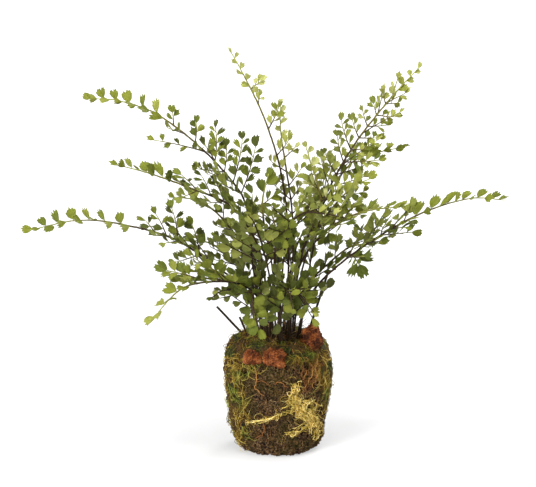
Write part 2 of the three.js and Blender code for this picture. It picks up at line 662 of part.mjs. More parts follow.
fern.add(toMesh('root_ball', boredBy(ballSolid(0)), 'peat'));
for (const sheet of MOSS_SHEETS) {
  let moss = mossSheet(sheet);
  for (const chunk of CHUNKS) {
    moss = moss.subtract(chunkSolid(chunk, SEAT));
  }
  fern.add(toMesh(sheet.name, mainBody(boredBy(moss)), sheet.colour));
}

export default fern;
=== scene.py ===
# %% [markdown]
# # A maidenhair fern in a mossed root ball
#
# The plant has been lifted out of its pot. Thin dark stems rise from a ball of peat, arch outwards and
# carry hundreds of small fan-shaped leaflets, and moss creeps over the ball. The solids that come with the
# part are plain. This notebook dresses each of them with the leaflets, strands and crumbs of the real
# plant, and keeps every one where it is.

# %% Load the plain solids
import math
import random

import bpy
import numpy as np
from mathutils import Matrix, Vector
from mathutils.bvhtree import BVHTree
from mathutils.geometry import delaunay_2d_cdt


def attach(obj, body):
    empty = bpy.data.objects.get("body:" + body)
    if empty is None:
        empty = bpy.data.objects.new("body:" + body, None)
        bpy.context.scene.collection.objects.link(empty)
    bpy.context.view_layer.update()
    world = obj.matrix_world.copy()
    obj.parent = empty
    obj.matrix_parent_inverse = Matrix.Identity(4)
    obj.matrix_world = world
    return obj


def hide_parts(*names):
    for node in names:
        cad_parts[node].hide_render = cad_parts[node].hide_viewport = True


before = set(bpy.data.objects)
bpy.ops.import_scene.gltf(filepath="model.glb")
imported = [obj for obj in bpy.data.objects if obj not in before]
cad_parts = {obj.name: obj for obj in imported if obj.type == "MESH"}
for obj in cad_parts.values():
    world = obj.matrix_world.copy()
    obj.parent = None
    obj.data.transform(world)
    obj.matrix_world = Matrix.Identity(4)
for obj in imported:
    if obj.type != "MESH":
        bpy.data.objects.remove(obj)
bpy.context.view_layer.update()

MM = 0.001
print("solids:", len(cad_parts))

# %% [markdown]
# ## Tools that every piece shares
#
# Blender's operators act on whatever is selected, and loading leaves all the solids selected. So one helper
# selects just the pieces that the next step is for. Another puts a finished piece on the plant's body,
# gives it its material, hides the solids that it stands for and reports its size in triangles.


# %% Selecting and finishing a piece
def select_only(*pieces):
    bpy.ops.object.select_all(action="DESELECT")
    for piece in pieces:
        piece.select_set(True)
    bpy.context.view_layer.objects.active = pieces[0]


def apply_modifier(piece, kind, **settings):
    modifier = piece.modifiers.new(kind.title(), kind)
    for name, value in settings.items():
        setattr(modifier, name, value)
    select_only(piece)
    bpy.ops.object.modifier_apply(modifier=modifier.name)


def finish_piece(piece, material, slot, *nodes):
    piece.data.materials.clear()
    piece.data.materials.append(material)
    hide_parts(*nodes)
    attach(piece, "root")
    triangles = sum(len(face.vertices) - 2 for face in piece.data.polygons)
    print(f"{piece.name}: {triangles} triangles")


# %% [markdown]
# Colours are picked as sRGB hex values, as a colour picker shows them. Shaders work in linear light, so one
# function turns them over. A second one adds a shader node of any kind with its settings and links, and
# gives back one of its outputs for the next node. A Mix node has several sockets of the same name, so those
# for colours are known by their numbers.


# %% Colours and shader nodes
FACTOR, FIRST, SECOND = 0, 6, 7  # the sockets of a Mix node for colours
MIX = dict(output=2, data_type="RGBA")  # its output and its setting for colours


def linear(hex_colour):
    channels = [int(hex_colour[i : i + 2], 16) / 255 for i in (1, 3, 5)]
    return [c / 12.92 if c <= 0.04045 else ((c + 0.055) / 1.055) ** 2.4 for c in channels] + [1]


def add(material, kind, inputs=(), output=0, stops=(), **settings):
    """A new node. Returns its first output, or the one that output gives by name or number.

    inputs maps a socket's name or number to a value or to another node's output. stops are the positions and
    hex colours of a colour ramp."""
    tree = material.node_tree
    node = tree.nodes.new("ShaderNode" + kind)
    for name, value in settings.items():
        setattr(node, name, value)
    for name, value in dict(inputs).items():
        if isinstance(value, bpy.types.NodeSocket):
            tree.links.new(value, node.inputs[name])
        else:
            node.inputs[name].default_value = value
    while stops and len(node.color_ramp.elements) < len(stops):
        node.color_ramp.elements.new(0.5)
    for i, (position, colour) in enumerate(stops):
        node.color_ramp.elements[i].position = position
        node.color_ramp.elements[i].color = linear(colour)
    return node.outputs[output] if node.outputs else None


def new_material(name):
    material = bpy.data.materials.new(name)
    material.use_nodes = True
    material.node_tree.nodes.clear()
    return material


def finish_material(material, shader):
    add(material, "OutputMaterial", {"Surface": shader})
    print(f"{material.name}: {len(material.node_tree.nodes)} nodes")
    return material


def grain(material, size, detail=3, roughness=0.6):
    """The settings of a noise in the plant's own frame, whose lumps are about size across in millimetres."""
    here = add(material, "TexCoord", output="Object")
    return {"Vector": here, "Scale": 1 / (size * MM), "Detail": detail, "Roughness": roughness}


print("mid grey in linear light:", round(linear("#808080")[0], 3))


# %% [markdown]
# Most finishes of the plant share the same kinds of detail: a colour that follows the tone of each point, a
# second colour in soft patches, fine specks, and a skin that is rough to the touch. Each is one function,
# and all take their sizes in millimetres.


# %% Patches, specks, roughness and tones
def patched(material, colour, other, share, size, detail=3, edges=()):
    """A colour with patches of another. share is how strong they are, and edges make their borders crisp."""
    where = add(material, "TexNoise", grain(material, size, detail))
    if edges:
        where = add(material, "ValToRGB", {"Fac": where}, stops=edges)
    patch = add(material, "Mix", {FACTOR: share, FIRST: colour, SECOND: other}, **MIX)
    return add(material, "Mix", {FACTOR: where, FIRST: colour, SECOND: patch}, **MIX)


def specked(material, colour, stops, share, size, detail, roughness):
    """A colour with a share of specks over it, which run through the colours of the stops."""
    specks = add(material, "TexNoise", grain(material, size, detail, roughness))
    specks = add(material, "ValToRGB", {"Fac": specks}, stops=stops)
    return add(material, "Mix", {FACTOR: share, FIRST: colour, SECOND: specks}, **MIX)


def rough(material, size, depth, strength, detail=3, roughness=0.6):
    """The normal of a skin with bumps of this size and depth in millimetres."""
    height = add(material, "TexNoise", grain(material, size, detail, roughness))
    return add(material, "Bump", {"Height": height, "Distance": depth * MM, "Strength": strength})


def toned(material, stops):
    """The colour of a piece by the tone that each of its points carries."""
    tone = add(material, "Attribute", output="Fac", attribute_name="tone")
    return add(material, "ValToRGB", {"Fac": tone}, stops=stops)


# %% [markdown]
# ## Tubes
#
# Stems, ribs, roots and moss strands are all thin round things that follow a course. A curve with a bevel
# would make one of them by hand. There are many thousands here, so a function works out the same rings of
# vertices and closes both ends. Another one later puts all the tubes of a piece into one mesh.


# %% Closed tubes along courses
def tubes(courses, sides, over):
    """Vertices and faces of a tube along each course of shape (tubes, points, 4): x, y, z and radius.

    over is a direction for each tube that its course never points along."""
    centres = courses[..., :3]
    along = np.gradient(centres, axis=1)
    along /= np.linalg.norm(along, axis=2, keepdims=True)
    across = np.cross(along, over[:, None, :])
    across /= np.linalg.norm(across, axis=2, keepdims=True)
    up = np.cross(along, across)
    turn = np.arange(sides) * 2 * math.pi / sides
    ring = across[:, :, None] * np.cos(turn)[:, None] + up[:, :, None] * np.sin(turn)[:, None]
    vertices = centres[:, :, None] + ring * courses[..., 3][:, :, None, None]
    count, points = courses.shape[:2]
    index = np.arange(count * points * sides).reshape(count, points, sides)
    following = np.roll(index, -1, axis=2)
    walls = np.stack([index[:, :-1], following[:, :-1], following[:, 1:], index[:, 1:]], axis=3)
    ends = np.concatenate([index[:, 0, ::-1], index[:, -1]])
    return vertices.reshape(-1, 3), walls.reshape(-1, 4).tolist() + ends.tolist()


# %% [markdown]
# ## How a frond grows
#
# The fern has one habit, and every frond repeats it. The stem is bare at first, then side sprays leave it
# left and right in turn, each shorter than the last, and near the tip single leaflets take over. The table
# gives each frond its path and proportions, and the functions below grow it by the rule that the solids
# were grown by.

# %% The fronds: path in millimetres from the foot in the ball to the tip
FRONDS = {}


def frond(name, radius, most, leaf, sprays, singles, roll, lift, tone, path):
    """radius of the foot; leaflets on the longest side spray besides the end one; length of a leaflet; shares
    of the path where side sprays and single leaflets begin; roll of the frond and lift of its two halves in
    degrees; tone of the leaves, from 0, deep green, to 1, yellow green."""
    FRONDS[name] = dict(radius=radius, most=most, leaf=leaf, sprays=sprays, singles=singles, roll=roll,
                        lift=lift, tone=tone, path=path)


frond("frond_left_high", 1.3, 5, 11.5, 0.44, 0.76, -40, 34, 0.48,
      [(-15, 6, 104), (-26, 6, 190), (-32, 9, 246), (-48, 13, 274), (-82, 19, 309), (-122, 26, 338),
       (-158, 31, 350), (-188, 34, 352)])
frond("frond_left_middle", 1.3, 4, 13, 0.4, 0.76, -14, 28, 0.38,
      [(-11, -2, 104), (-14, -6, 180), (-24, -10, 219), (-48, -15, 254), (-86, -21, 273),
       (-130, -28, 291), (-166, -34, 302)])
frond("frond_left_far", 1.3, 4, 12.5, 0.34, 0.64, -28, 30, 0.42,
      [(-19, -1, 104), (-32, -6, 162), (-58, -12, 187), (-102, -20, 220), (-150, -28, 237),
       (-198, -34, 244), (-250, -38, 234)])
frond("frond_left_low", 1.1, 4, 14, 0.44, 0.72, 6, 8, 0.56,
      [(-15, -9, 104), (-20, -26, 159), (-38, -42, 180), (-64, -56, 187), (-92, -68, 185),
       (-110, -76, 172), (-126, -80, 152)])
frond("frond_top", 1.3, 3, 10.5, 0.6, 0.82, 82, 10, 0.78,
      [(4, 5, 104), (10, 6, 180), (8, 9, 243), (0, 13, 292), (-16, 18, 340), (-34, 23, 377),
       (-50, 27, 406)])
frond("frond_top_right", 1.3, 5, 9.8, 0.46, 0.86, 78, 6, 0.7,
      [(10, -2, 104), (18, 1, 183), (34, 4, 227), (50, 8, 265), (76, 14, 310), (108, 20, 351),
       (142, 26, 388)])
frond("frond_right_far", 1.3, 4, 13, 0.38, 0.66, 10, 26, 0.46,
      [(16, -9, 104), (30, -14, 158), (62, -24, 197), (108, -35, 233), (148, -42, 256),
       (190, -48, 270), (224, -51, 269)])
frond("frond_front_right", 1.3, 4, 13, 0.5, 0.8, 14, 22, 0.46,
      [(5, -9, 104), (14, -16, 165), (26, -22, 204), (54, -32, 238), (88, -43, 256), (126, -52, 263)])
frond("frond_front", 1.1, 4, 14.5, 0.5, 0.78, 0, 6, 0.5,
      [(-5, -9, 104), (-8, -26, 175), (-16, -46, 220), (-24, -66, 249), (-30, -84, 263)])
frond("frond_front_low_left", 1, 3, 14.5, 0.45, 0.75, 0, 6, 0.38,
      [(-9, -16, 104), (-16, -36, 165), (-24, -54, 176), (-26, -70, 168), (-24, -78, 148)])
frond("frond_front_low_right", 1, 3, 14, 0.45, 0.75, 0, 6, 0.36,
      [(9, -16, 104), (12, -36, 165), (18, -54, 175), (28, -70, 169), (38, -78, 157)])
frond("frond_front_small_left", 1, 2, 13, 0.45, 0.76, 0, 8, 0.4,
      [(-17, -16, 104), (-24, -26, 148), (-36, -36, 170), (-54, -46, 176), (-68, -54, 168)])
frond("frond_front_small_middle", 1, 2, 14, 0.45, 0.76, 0, 6, 0.38,
      [(1, -29, 106), (3, -41, 150), (7, -55, 175), (11, -72, 178), (14, -86, 166)])
frond("frond_front_level", 1.1, 4, 13, 0.56, 0.82, 0, 8, 0.56,
      [(0, -17, 104), (4, -34, 192), (10, -52, 239), (24, -72, 261), (46, -90, 265), (68, -104, 264)])
frond("frond_pale", 1.1, 3, 11, 0.45, 0.8, 12, 10, 0.9,
      [(9, 13, 104), (14, 18, 178), (14, 23, 234), (8, 28, 279), (2, 32, 320), (2, 34, 348)])
frond("frond_short_middle", 1, 3, 10.5, 0.56, 0.86, -56, 8, 0.85,
      [(20, -2, 104), (32, -6, 193), (42, -8, 242), (40, -8, 270), (32, -7, 296), (26, -6, 317)])
frond("frond_short_left", 1, 3, 12, 0.56, 0.86, -76, 10, 0.36,
      [(-2, -2, 104), (-6, -2, 184), (-14, -4, 231), (-16, -2, 256), (-10, 0, 283)])
frond("frond_left_inner", 1.1, 4, 11.5, 0.45, 0.8, -24, 24, 0.5,
      [(-7, 6, 104), (-19, 15, 176), (-36, 18, 205), (-60, 22, 235), (-82, 26, 249), (-110, 30, 251)])
frond("frond_right_inner", 1.1, 3, 11.5, 0.5, 0.82, 40, 12, 0.62,
      [(14, 5, 104), (24, 4, 184), (42, 2, 229), (58, 0, 253), (74, -3, 270), (92, -6, 280)])
frond("frond_right_upper", 1.2, 4, 11.5, 0.5, 0.8, 8, 20, 0.46,
      [(13, 20, 104), (22, 26, 185), (44, 34, 241), (74, 42, 284), (106, 50, 294), (126, 55, 296)])
frond("frond_back_left", 1.2, 3, 12.5, 0.4, 0.8, 0, 20, 0.34,
      [(-20, 13, 104), (-28, 26, 161), (-48, 42, 184), (-70, 58, 196), (-94, 72, 195)])
frond("frond_back_inner_left", 1.2, 3, 12.5, 0.4, 0.8, 0, 18, 0.38,
      [(-10, 13, 104), (-14, 34, 169), (-26, 60, 193), (-40, 86, 204), (-56, 110, 199)])
frond("frond_back", 1.2, 3, 12.5, 0.4, 0.8, 0, 18, 0.42,
      [(0, 13, 104), (0, 36, 174), (-2, 66, 202), (-6, 96, 214), (-10, 126, 209)])
frond("frond_back_inner_right", 1.2, 3, 12.5, 0.4, 0.8, 0, 18, 0.4,
      [(3, 20, 104), (12, 40, 170), (22, 66, 199), (36, 92, 208), (52, 116, 202)])
frond("frond_back_right", 1.2, 3, 12.5, 0.4, 0.8, 0, 20, 0.36,
      [(19, 12, 104), (32, 24, 161), (52, 38, 181), (74, 52, 194), (102, 66, 193)])
print("fronds:", len(FRONDS))

# %% [markdown]
# A smooth curve runs through the points of a path. It is sampled closely once, with its length so far at
# every sample, so that any share of the path gives a place and a direction.


# %% A path that can be walked by its length
SMOOTH_SAMPLES = 40  # between two points of a path
LOOK = 0.5  # how far to each side of a place its direction is measured, in millimetres


class Course:
    """A Catmull-Rom curve through points in millimetres."""

    def __init__(self, path):
        points = np.array(path, float)
        before = 2 * points[0] - points[1]
        after = 2 * points[-1] - points[-2]
        points = np.vstack([before, points, after])
        t = np.linspace(0, 1, SMOOTH_SAMPLES, endpoint=False)[:, None]
        runs = []
        for a, b, c, d in zip(points, points[1:], points[2:], points[3:]):
            runs.append(b + t * (c - a) / 2 + t**2 * (a - 2.5 * b + 2 * c - d / 2)
                        + t**3 * (1.5 * (b - c) + (d - a) / 2))
        self.samples = np.vstack([*runs, points[-2]])
        steps = np.linalg.norm(np.diff(self.samples, axis=0), axis=1)
        self.so_far = np.concatenate([[0], np.cumsum(steps)])
        self.length = self.so_far[-1]

    def at(self, share):
        return Vector([np.interp(share * self.length, self.so_far, axis) for axis in self.samples.T])

    def direction(self, share):
        near = LOOK / self.length
        return (self.at(min(share + near, 1)) - self.at(max(share - near, 0))).normalized()

    def spaced(self, distance):
        count = math.ceil(self.length / distance)
        return [self.at(i / count) for i in range(count + 1)]


for record in FRONDS.values():
    record["course"] = Course(record["path"])
print("longest frond:", round(max(record["course"].length for record in FRONDS.values())), "mm")

# %% [markdown]
# ## Where the leaflets sit
#
# Everything on a frond is placed by a share of its path. At each share there is a direction along the stem,
# one to its side and one square to both. What differs from spray to spray comes from a number that looks
# random but is always the same for the same spray, as it was for the solids.

# %% Directions along a frond
UP = Vector((0, 0, 1))


def lerp(a, b, t):
    return a + (b - a) * t


def draw(a, b, c):
    """A number from 0 to 1 that is always the same for the same three numbers."""
    wave = math.sin(a * 12.9898 + b * 78.233 + c * 37.719) * 4375.5453
    return wave - math.floor(wave)


def frame_at(record, share, turn=0):
    """Place, direction, side and normal of a frond at a share of its path."""
    along = record["course"].direction(share)
    heading = Vector(record["path"][-1]) - Vector(record["path"][0])
    across = Vector((-heading.y, heading.x, 0)).normalized()
    across = (across - along * across.dot(along)).normalized()
    over = along.cross(across)
    roll = math.radians(record["roll"] + turn)
    side = across * math.cos(roll) + over * math.sin(roll)
    return record["course"].at(share), along, side, along.cross(side)


def half_direction(side, normal, sign, lift):
    """The way out of the stem on one side of the frond, lifted by an angle."""
    return side * (sign * math.cos(lift)) + normal * math.sin(lift)


middle = frame_at(FRONDS["frond_top"], 0.5)[0]
print("middle of the top frond:", [round(value) for value in middle], "mm")

# %% [markdown]
# Leaflets sit left and right on a rib in turn, with one more at its end. Those of the solids are few and
# large, to keep them light. Here the same row of a side spray is crowded with more.

# %% A row of leaflets
RIB = 0.5  # half the width of the rib that leaflets sit on, in millimetres
LEAFLET_ANGLE = 52  # between a leaflet and its rib, in degrees
LEAFLET_STEP = 0.75  # from one leaflet to the next, against the length of one
CROWDING = 1.7  # leaflets for each one of the solid's


def leaflets_of(stalk, count, size, end_size):
    """Place on the rib, side and length of each leaflet. The one at the end has side 0."""
    leaflets = []
    x = stalk
    for i in range(count + 1):
        here = lerp(size, end_size, i / count if count else 0)
        side = 0 if i == count else (-1 if i % 2 else 1)
        leaflets.append((x, side, here))
        x += LEAFLET_STEP * here
    return leaflets


def crowded(leaflets):
    """The same row with more leaflets on it."""
    first, last = leaflets[0], leaflets[-1]
    count = round((len(leaflets) - 1) * CROWDING)
    if not count:
        return leaflets
    shares = [i / count for i in range(count + 1)]
    sides = [-1 if i % 2 else 1 for i in range(count)] + [0]
    return [(lerp(first[0], last[0], t), side, lerp(first[2], last[2], t)) for t, side in zip(shares, sides)]


def on_leaflet(leaflet, along, across):
    """A point of a leaflet in the plane of its spray."""
    x, side, size = leaflet
    angle = math.radians(LEAFLET_ANGLE) * side
    a, b = along * size, across * size
    ahead = x + a * math.cos(angle) - b * math.sin(angle)
    return ahead, side * RIB + a * math.sin(angle) + b * math.cos(angle)


print("a row of 5 leaflets, crowded:", len(crowded(leaflets_of(stalk=5, count=4, size=12, end_size=10))))

# %% [markdown]
# Near the frond's tip the leaflets sit on the stem itself. The spray there is described by a surface, which
# turns a place along and across the spray into a point of the plant.

# %% The spray at the tip
SINGLE_STALK = 0.5  # from the start of the spray to its first leaflet, against that leaflet's length
FIRST_SINGLE = 0.92  # length of the first and the last leaflet, against the frond's leaflet length
TIP_SINGLE = 0.66
END_FOLD = 0.6  # how far the two halves are lifted, against the frond's lift


def end_spray(record, turn):
    length = record["course"].length
    start = record["singles"] * length
    run = length - start
    size = record["leaf"] * FIRST_SINGLE
    end_size = record["leaf"] * TIP_SINGLE
    count = max(2, math.floor((run - end_size) / (LEAFLET_STEP * (size + end_size) / 2)))

    def surface_at(x, y):
        point, along, side, normal = frame_at(record, min((start + x) / length, 1), turn)
        half = half_direction(side, normal, 1 if y >= 0 else -1, math.radians(record["lift"] * END_FOLD))
        return point + half * abs(y) + along * max(start + x - length, 0), normal

    leaflets = leaflets_of(size * SINGLE_STALK, count, size, end_size)
    return dict(leaflets=leaflets, surface=surface_at, side=False)


print("leaflets at the top frond's tip:", len(end_spray(FRONDS["frond_top"], 0)["leaflets"]))

# %% [markdown]
# Each side spray is a thin arched fan of leaflets on a rib. The rib leaves the stem at an angle, bends
# towards the frond's tip and droops. No two sprays have quite the same lift, angle, size and number of
# leaflets.

# %% The sprays at the sides
SPRAY_ANGLE = 56  # between a spray and the stem, in degrees
SPRAY_STALK = 0.55  # from the stem to the first leaflet, against its length, and in millimetres more
SPRAY_STALK_MORE = 1
SPRAY_END = 0.9  # length of the last leaflet, against the first
SPRAY_FALL = 0.16  # how much shorter the leaflets of the last spray are
ARCH = 0.012  # a spray bends down by this times the square of the way from its rib, in millimetres
DROOP = 0.1  # how far its end hangs down and bends forward, against its length
FORWARD = 0.16
SIZE_SPREAD = 0.16  # from the least to the most, of size, lift, angle and number of leaflets
LIFT_SPREAD = 26
ANGLE_SPREAD = 14
COUNT_SPREAD = 1.4


def side_spray(record, seed, index, u, sign, turn):
    """A spray on one side of the stem. u is its place from the first spray, 0, to the last, 1."""
    lift, angle, size, most = (draw(seed, index, kind) - 0.5 for kind in (1, 2, 3, 4))
    share = lerp(record["sprays"], record["singles"], u)
    place_here, along, side, normal = frame_at(record, share)
    lift = math.radians(record["lift"] + turn + LIFT_SPREAD * lift)
    angle = math.radians(SPRAY_ANGLE + ANGLE_SPREAD * angle)
    out = half_direction(side, normal, sign, lift)
    rib = along * math.cos(angle) + out * math.sin(angle)
    across = (along - rib * along.dot(rib)).normalized()
    over = rib.cross(across)
    size = record["leaf"] * (1 - SPRAY_FALL * u) * (1 + SIZE_SPREAD * size)
    most = math.floor(lerp(record["most"], 1, u) + COUNT_SPREAD * most + 0.5)
    stalk = size * SPRAY_STALK + SPRAY_STALK_MORE
    leaflets = leaflets_of(stalk, max(most, 0), size, size * SPRAY_END)
    length = leaflets[-1][0] + size

    def surface_at(x, y):
        point = place_here + rib * x + across * (FORWARD * x * abs(x) / length + y)
        return point - UP * (DROOP * x * x / length) - over * (ARCH * y * y), over

    return dict(leaflets=crowded(leaflets), surface=surface_at, side=True, share=share)


first = side_spray(FRONDS["frond_left_high"], seed=0, index=0, u=0, sign=1, turn=0)
print("leaflets on the left high frond's first side spray:", len(first["leaflets"]))


# %% [markdown]
# Before a spray is kept, it is tested against all that stands already. Where it would touch another, it is
# bent a little up or down and tested again, which gives the plant its loose, airy look. The points of what
# stands are sorted into small cubes of space, so that only near neighbours are looked at.

# %% Keeping the sprays clear of each other
CLEARANCE = 2.8  # from a spray to its neighbours, in millimetres
TURNS = (0, 17, -17, 34, -34, 50)  # in degrees, tried one after another
LEAFLET_SAMPLES = [(0.25, 0), (0.5, 0.22), (0.5, -0.22), (0.75, 0.42), (0.75, 0.14), (0.75, -0.14),
                   (0.75, -0.42), (0.97, 0.22), (0.97, -0.04), (0.97, -0.26)]  # along and across a leaflet
taken = {}


def cube_of(point):
    return tuple(math.floor(value / CLEARANCE) for value in point)


def keep(points, owner):
    for point in points:
        taken.setdefault(cube_of(point), []).append((point, owner))


def is_clear(points, owner, clearance):
    steps = (-1, 0, 1)
    for point in points:
        i, j, k = cube_of(point)
        for cube in ((i + a, j + b, k + c) for a in steps for b in steps for c in steps):
            for kept, kept_owner in taken.get(cube, ()):
                if kept_owner != owner and (kept - point).length <= clearance:
                    return False
    return True


def place_spray(name, make_spray, turns=TURNS, clearance=CLEARANCE):
    """A list with the first spray that stands clear, or an empty one."""
    for turn in turns:
        spray = make_spray(turn)
        samples = [spray["surface"](x, 0)[0] for x, _, _ in spray["leaflets"]]
        for leaflet in spray["leaflets"]:
            samples += [spray["surface"](*on_leaflet(leaflet, *sample))[0] for sample in LEAFLET_SAMPLES]
        if is_clear(samples, name, clearance):
            keep(samples, name + " leaflets")
            return [spray]
    return []


# %% [markdown]
# The stems stand first, those that were cut off as well. The sprays are then tried against them.

# %% The stems take their places
STUBS = {  # radius and path of each cut stem in millimetres
    "stub_left_long": (1.2, [(-27, 11, 104), (-44, 13, 122), (-62, 16, 141)]),
    "stub_left_short": (1.1, [(-27, 3, 104), (-32, 3, 117), (-39, 2, 134)]),
    "stub_left_tall": (1.5, [(-16, 22, 104), (-21, 22, 152), (-25, 21, 201)]),
    "stub_right": (1.2, [(26, 3, 104), (36, 2, 137), (50, 3, 181)]),
    "stub_front": (1, [(15, -28, 106), (6, -28, 118), (-5, -27, 131)]),
    "stub_middle": (1.4, [(-10, -8, 104), (-6, -11, 160), (-3, -12, 210)]),
}
for name, record in FRONDS.items():
    keep(record["course"].spaced(CLEARANCE), name)
for name, (_, path) in STUBS.items():
    keep(Course(path).spaced(CLEARANCE), name)
print("cubes with a stem in them:", len(taken))

# %% Growing the sprays
SPRAY_SPACING = 14  # of stem for each side spray, in millimetres
BARE = {("frond_top", -1): 0.75}  # one side of a frond that has lost its sprays, up to this share of the run


def leaflet_count():
    return sum(len(spray["leaflets"]) for record in FRONDS.values() for spray in record["grown"])


for name, record in FRONDS.items():
    record["grown"] = place_spray(name, lambda turn: end_spray(record, turn))
for seed, (name, record) in enumerate(FRONDS.items()):
    run = (record["singles"] - record["sprays"]) * record["course"].length
    count = max(2, math.floor(run / SPRAY_SPACING + 0.5))
    places = [(index, (index + 0.5) / count, -1 if index % 2 else 1) for index in range(count)]
    record["places"] = [(index, u, sign) for index, u, sign in places if u > BARE.get((name, sign), 0)]
    record["missed"] = []
    for index, u, sign in record["places"]:
        grown = place_spray(name, lambda turn: side_spray(record, seed, index, u, sign, turn))
        record["grown"] += grown
        if not grown:
            record["missed"].append((index, u, sign))
print("leaflets:", leaflet_count())

# %% [markdown]
# A living frond is fuller than this first growth. Some twigs stand out on the real plant and are put where
# they are seen: low ones that hang over the rim of the ball, and small ones that fill out the tops. Each is
# a nearly straight row of leaflets that faces the light.

# %% Twigs that stand out
LIGHT_FROM = Vector((-0.25, -0.8, 0.55))
TWIG_BARE = 0.3  # the share of a twig below its first leaflet
TWIGS = (  # frond, share of its path, tip in millimetres, leaflets besides the end one, length of a leaflet
    ("frond_left_low", 0.63, (-121.5, -58, 201), 7, 12.5),
    ("frond_right_far", 0.42, (87.5, -35, 187), 2, 14),
    ("frond_front_right", 0.63, (47.5, -35, 220), 2, 12),
    ("frond_top", 0.85, (-11.5, 22, 376), 3, 8.5),
    ("frond_top_right", 0.6, (104, 12, 318), 6, 8.5),
    ("frond_top_right", 0.72, (127, 16, 345), 4, 8),
    ("frond_top_right", 0.87, (121, 23, 382), 1, 8.5),
    ("frond_top_right", 0.8, (106, 19, 369), 2, 8.5),
    ("frond_top_right", 0.84, (133, 22, 363), 2, 8.5),
    ("frond_left_low", 0.5, (-96, -50, 216), 4, 11),
    ("frond_front_low_left", 0.7, (-29, -72, 138), 4, 13),
    ("frond_front_low_left", 0.84, (-16, -84, 133), 4, 13),
    ("frond_front_small_middle", 0.66, (-3, -76, 136), 4, 13),
    ("frond_front_low_right", 0.7, (40, -68, 141), 3, 13),
    ("frond_left_high", 0.62, (-132, 10, 316), 4, 9),
)


def twig(record, share, tip, count, size):
    start, _, _, _ = frame_at(record, share)
    rib = Vector(tip) - start
    length = rib.length
    rib = rib.normalized()
    over = (LIGHT_FROM - rib * LIGHT_FROM.dot(rib)).normalized()
    across = over.cross(rib)
    sides = [-1 if i % 2 else 1 for i in range(count)] + [0]
    first, last = TWIG_BARE * length, length - size
    leaflets = [(lerp(first, last, i / count), side, size) for i, side in enumerate(sides)]

    def surface_at(x, y):
        return start + rib * x + across * y + UP * (DROOP * x * (1 - x / length)), over

    return dict(leaflets=leaflets, surface=surface_at, side=True, share=share)


for name, share, tip, count, size in TWIGS:
    spray = twig(FRONDS[name], share, tip, count, size)
    FRONDS[name]["grown"].append(spray)
    keep([spray["surface"](x, 0)[0] for x, _, _ in spray["leaflets"]], name + " leaflets")
print("leaflets with the twigs:", leaflet_count())

# %% [markdown]
# Sprays that found no room try again, closer to their neighbours than before, as real ones lie. The fronds
# in the thick of the plant get a second spray opposite the first, and the low ones in front get a third row
# that starts further down.

# %% Filling in
FILL_CLEARANCE = 1.2
FILL_TURNS = (0, -28, 28, -56, 56, 84, -84)
THICK = {  # the share of the run up to which a frond gets a second spray
    "frond_left_high": 0.5, "frond_left_middle": 0.8, "frond_left_far": 0.7, "frond_left_low": 1,
    "frond_pale": 0.6, "frond_top_right": 1, "frond_right_far": 1.2, "frond_front_right": 1.3,
    "frond_short_left": 0.3, "frond_left_inner": 0.4, "frond_right_inner": 0.6, "frond_right_upper": 0.4,
    "frond_back_left": 0.5, "frond_back_right": 0.5, "frond_back": 0.5, "frond_back_inner_left": 0.5,
    "frond_back_inner_right": 0.5, "frond_front": 0.6, "frond_front_level": 0.5,
}
FRONT = ("frond_front", "frond_front_level", "frond_front_low_left", "frond_front_low_right",
         "frond_front_small_left", "frond_front_small_middle")
LOW_FRONT = FRONT[2:]
LOW_FOOT = -0.5  # where the third row starts, as a share of the run from the first spray
LOW_ROW = 0.7  # sprays in the third row, against those of a full row as long

for seed, (name, record) in enumerate(FRONDS.items()):
    count = len(record["places"])
    thick = THICK.get(name, 0)
    low = name in LOW_FRONT
    more = [(index + count, u, -sign) for index, u, sign in record["places"] if u < thick or low]
    if low:
        steps = math.ceil((1 - LOW_FOOT) * count * LOW_ROW)
        more += [(2 * count + i, lerp(LOW_FOOT, 1, i / steps), -1 if i % 2 else 1) for i in range(steps)]
    for index, u, sign in record["missed"] + more:
        record["grown"] += place_spray(name, lambda turn: side_spray(record, seed, index, u, sign, turn),
                                       FILL_TURNS, FILL_CLEARANCE)
print("leaflets with the fill:", leaflet_count())

# %% [markdown]
# ## The leaflets
#
# A maidenhair leaflet is a thin fan on a hair-fine stalk. Its outer edge is cut into lobes and small teeth,
# and its veins fork outwards from the stalk. Each kind starts as a flat grid. Its rows become arcs of a
# fan, its outer row is pulled in and out to make the teeth, and the whole blade is cupped. Solidify then
# gives it the thickness of a leaf. Eight kinds are enough, because every copy is also turned, stretched and
# mirrored.

# %% Eight kinds of leaflet, each 1 m long, to be scaled
BLADE_THICKNESS = 0.022
FOOT = 0.1  # where the blade starts
LEAFLET_ROWS = 3
SHOULDER = 0.38
ROUND_SHOULDER = 0.48
BELLY = 0.22
ROUND_BELLY = 0.3
CLEFT_WIDTH = 0.16
RIM = 0.99  # from here on a point is on the outer edge
CUP_CURVE = 1.5
BOW = 0.14  # how far the blade bends down to its edge
RIPPLE = 0.03  # waves of the outer edge, and how far each tooth turns them on, in radians
RIPPLE_TURN = 2.2
SMOOTH_ANGLE = math.radians(50)


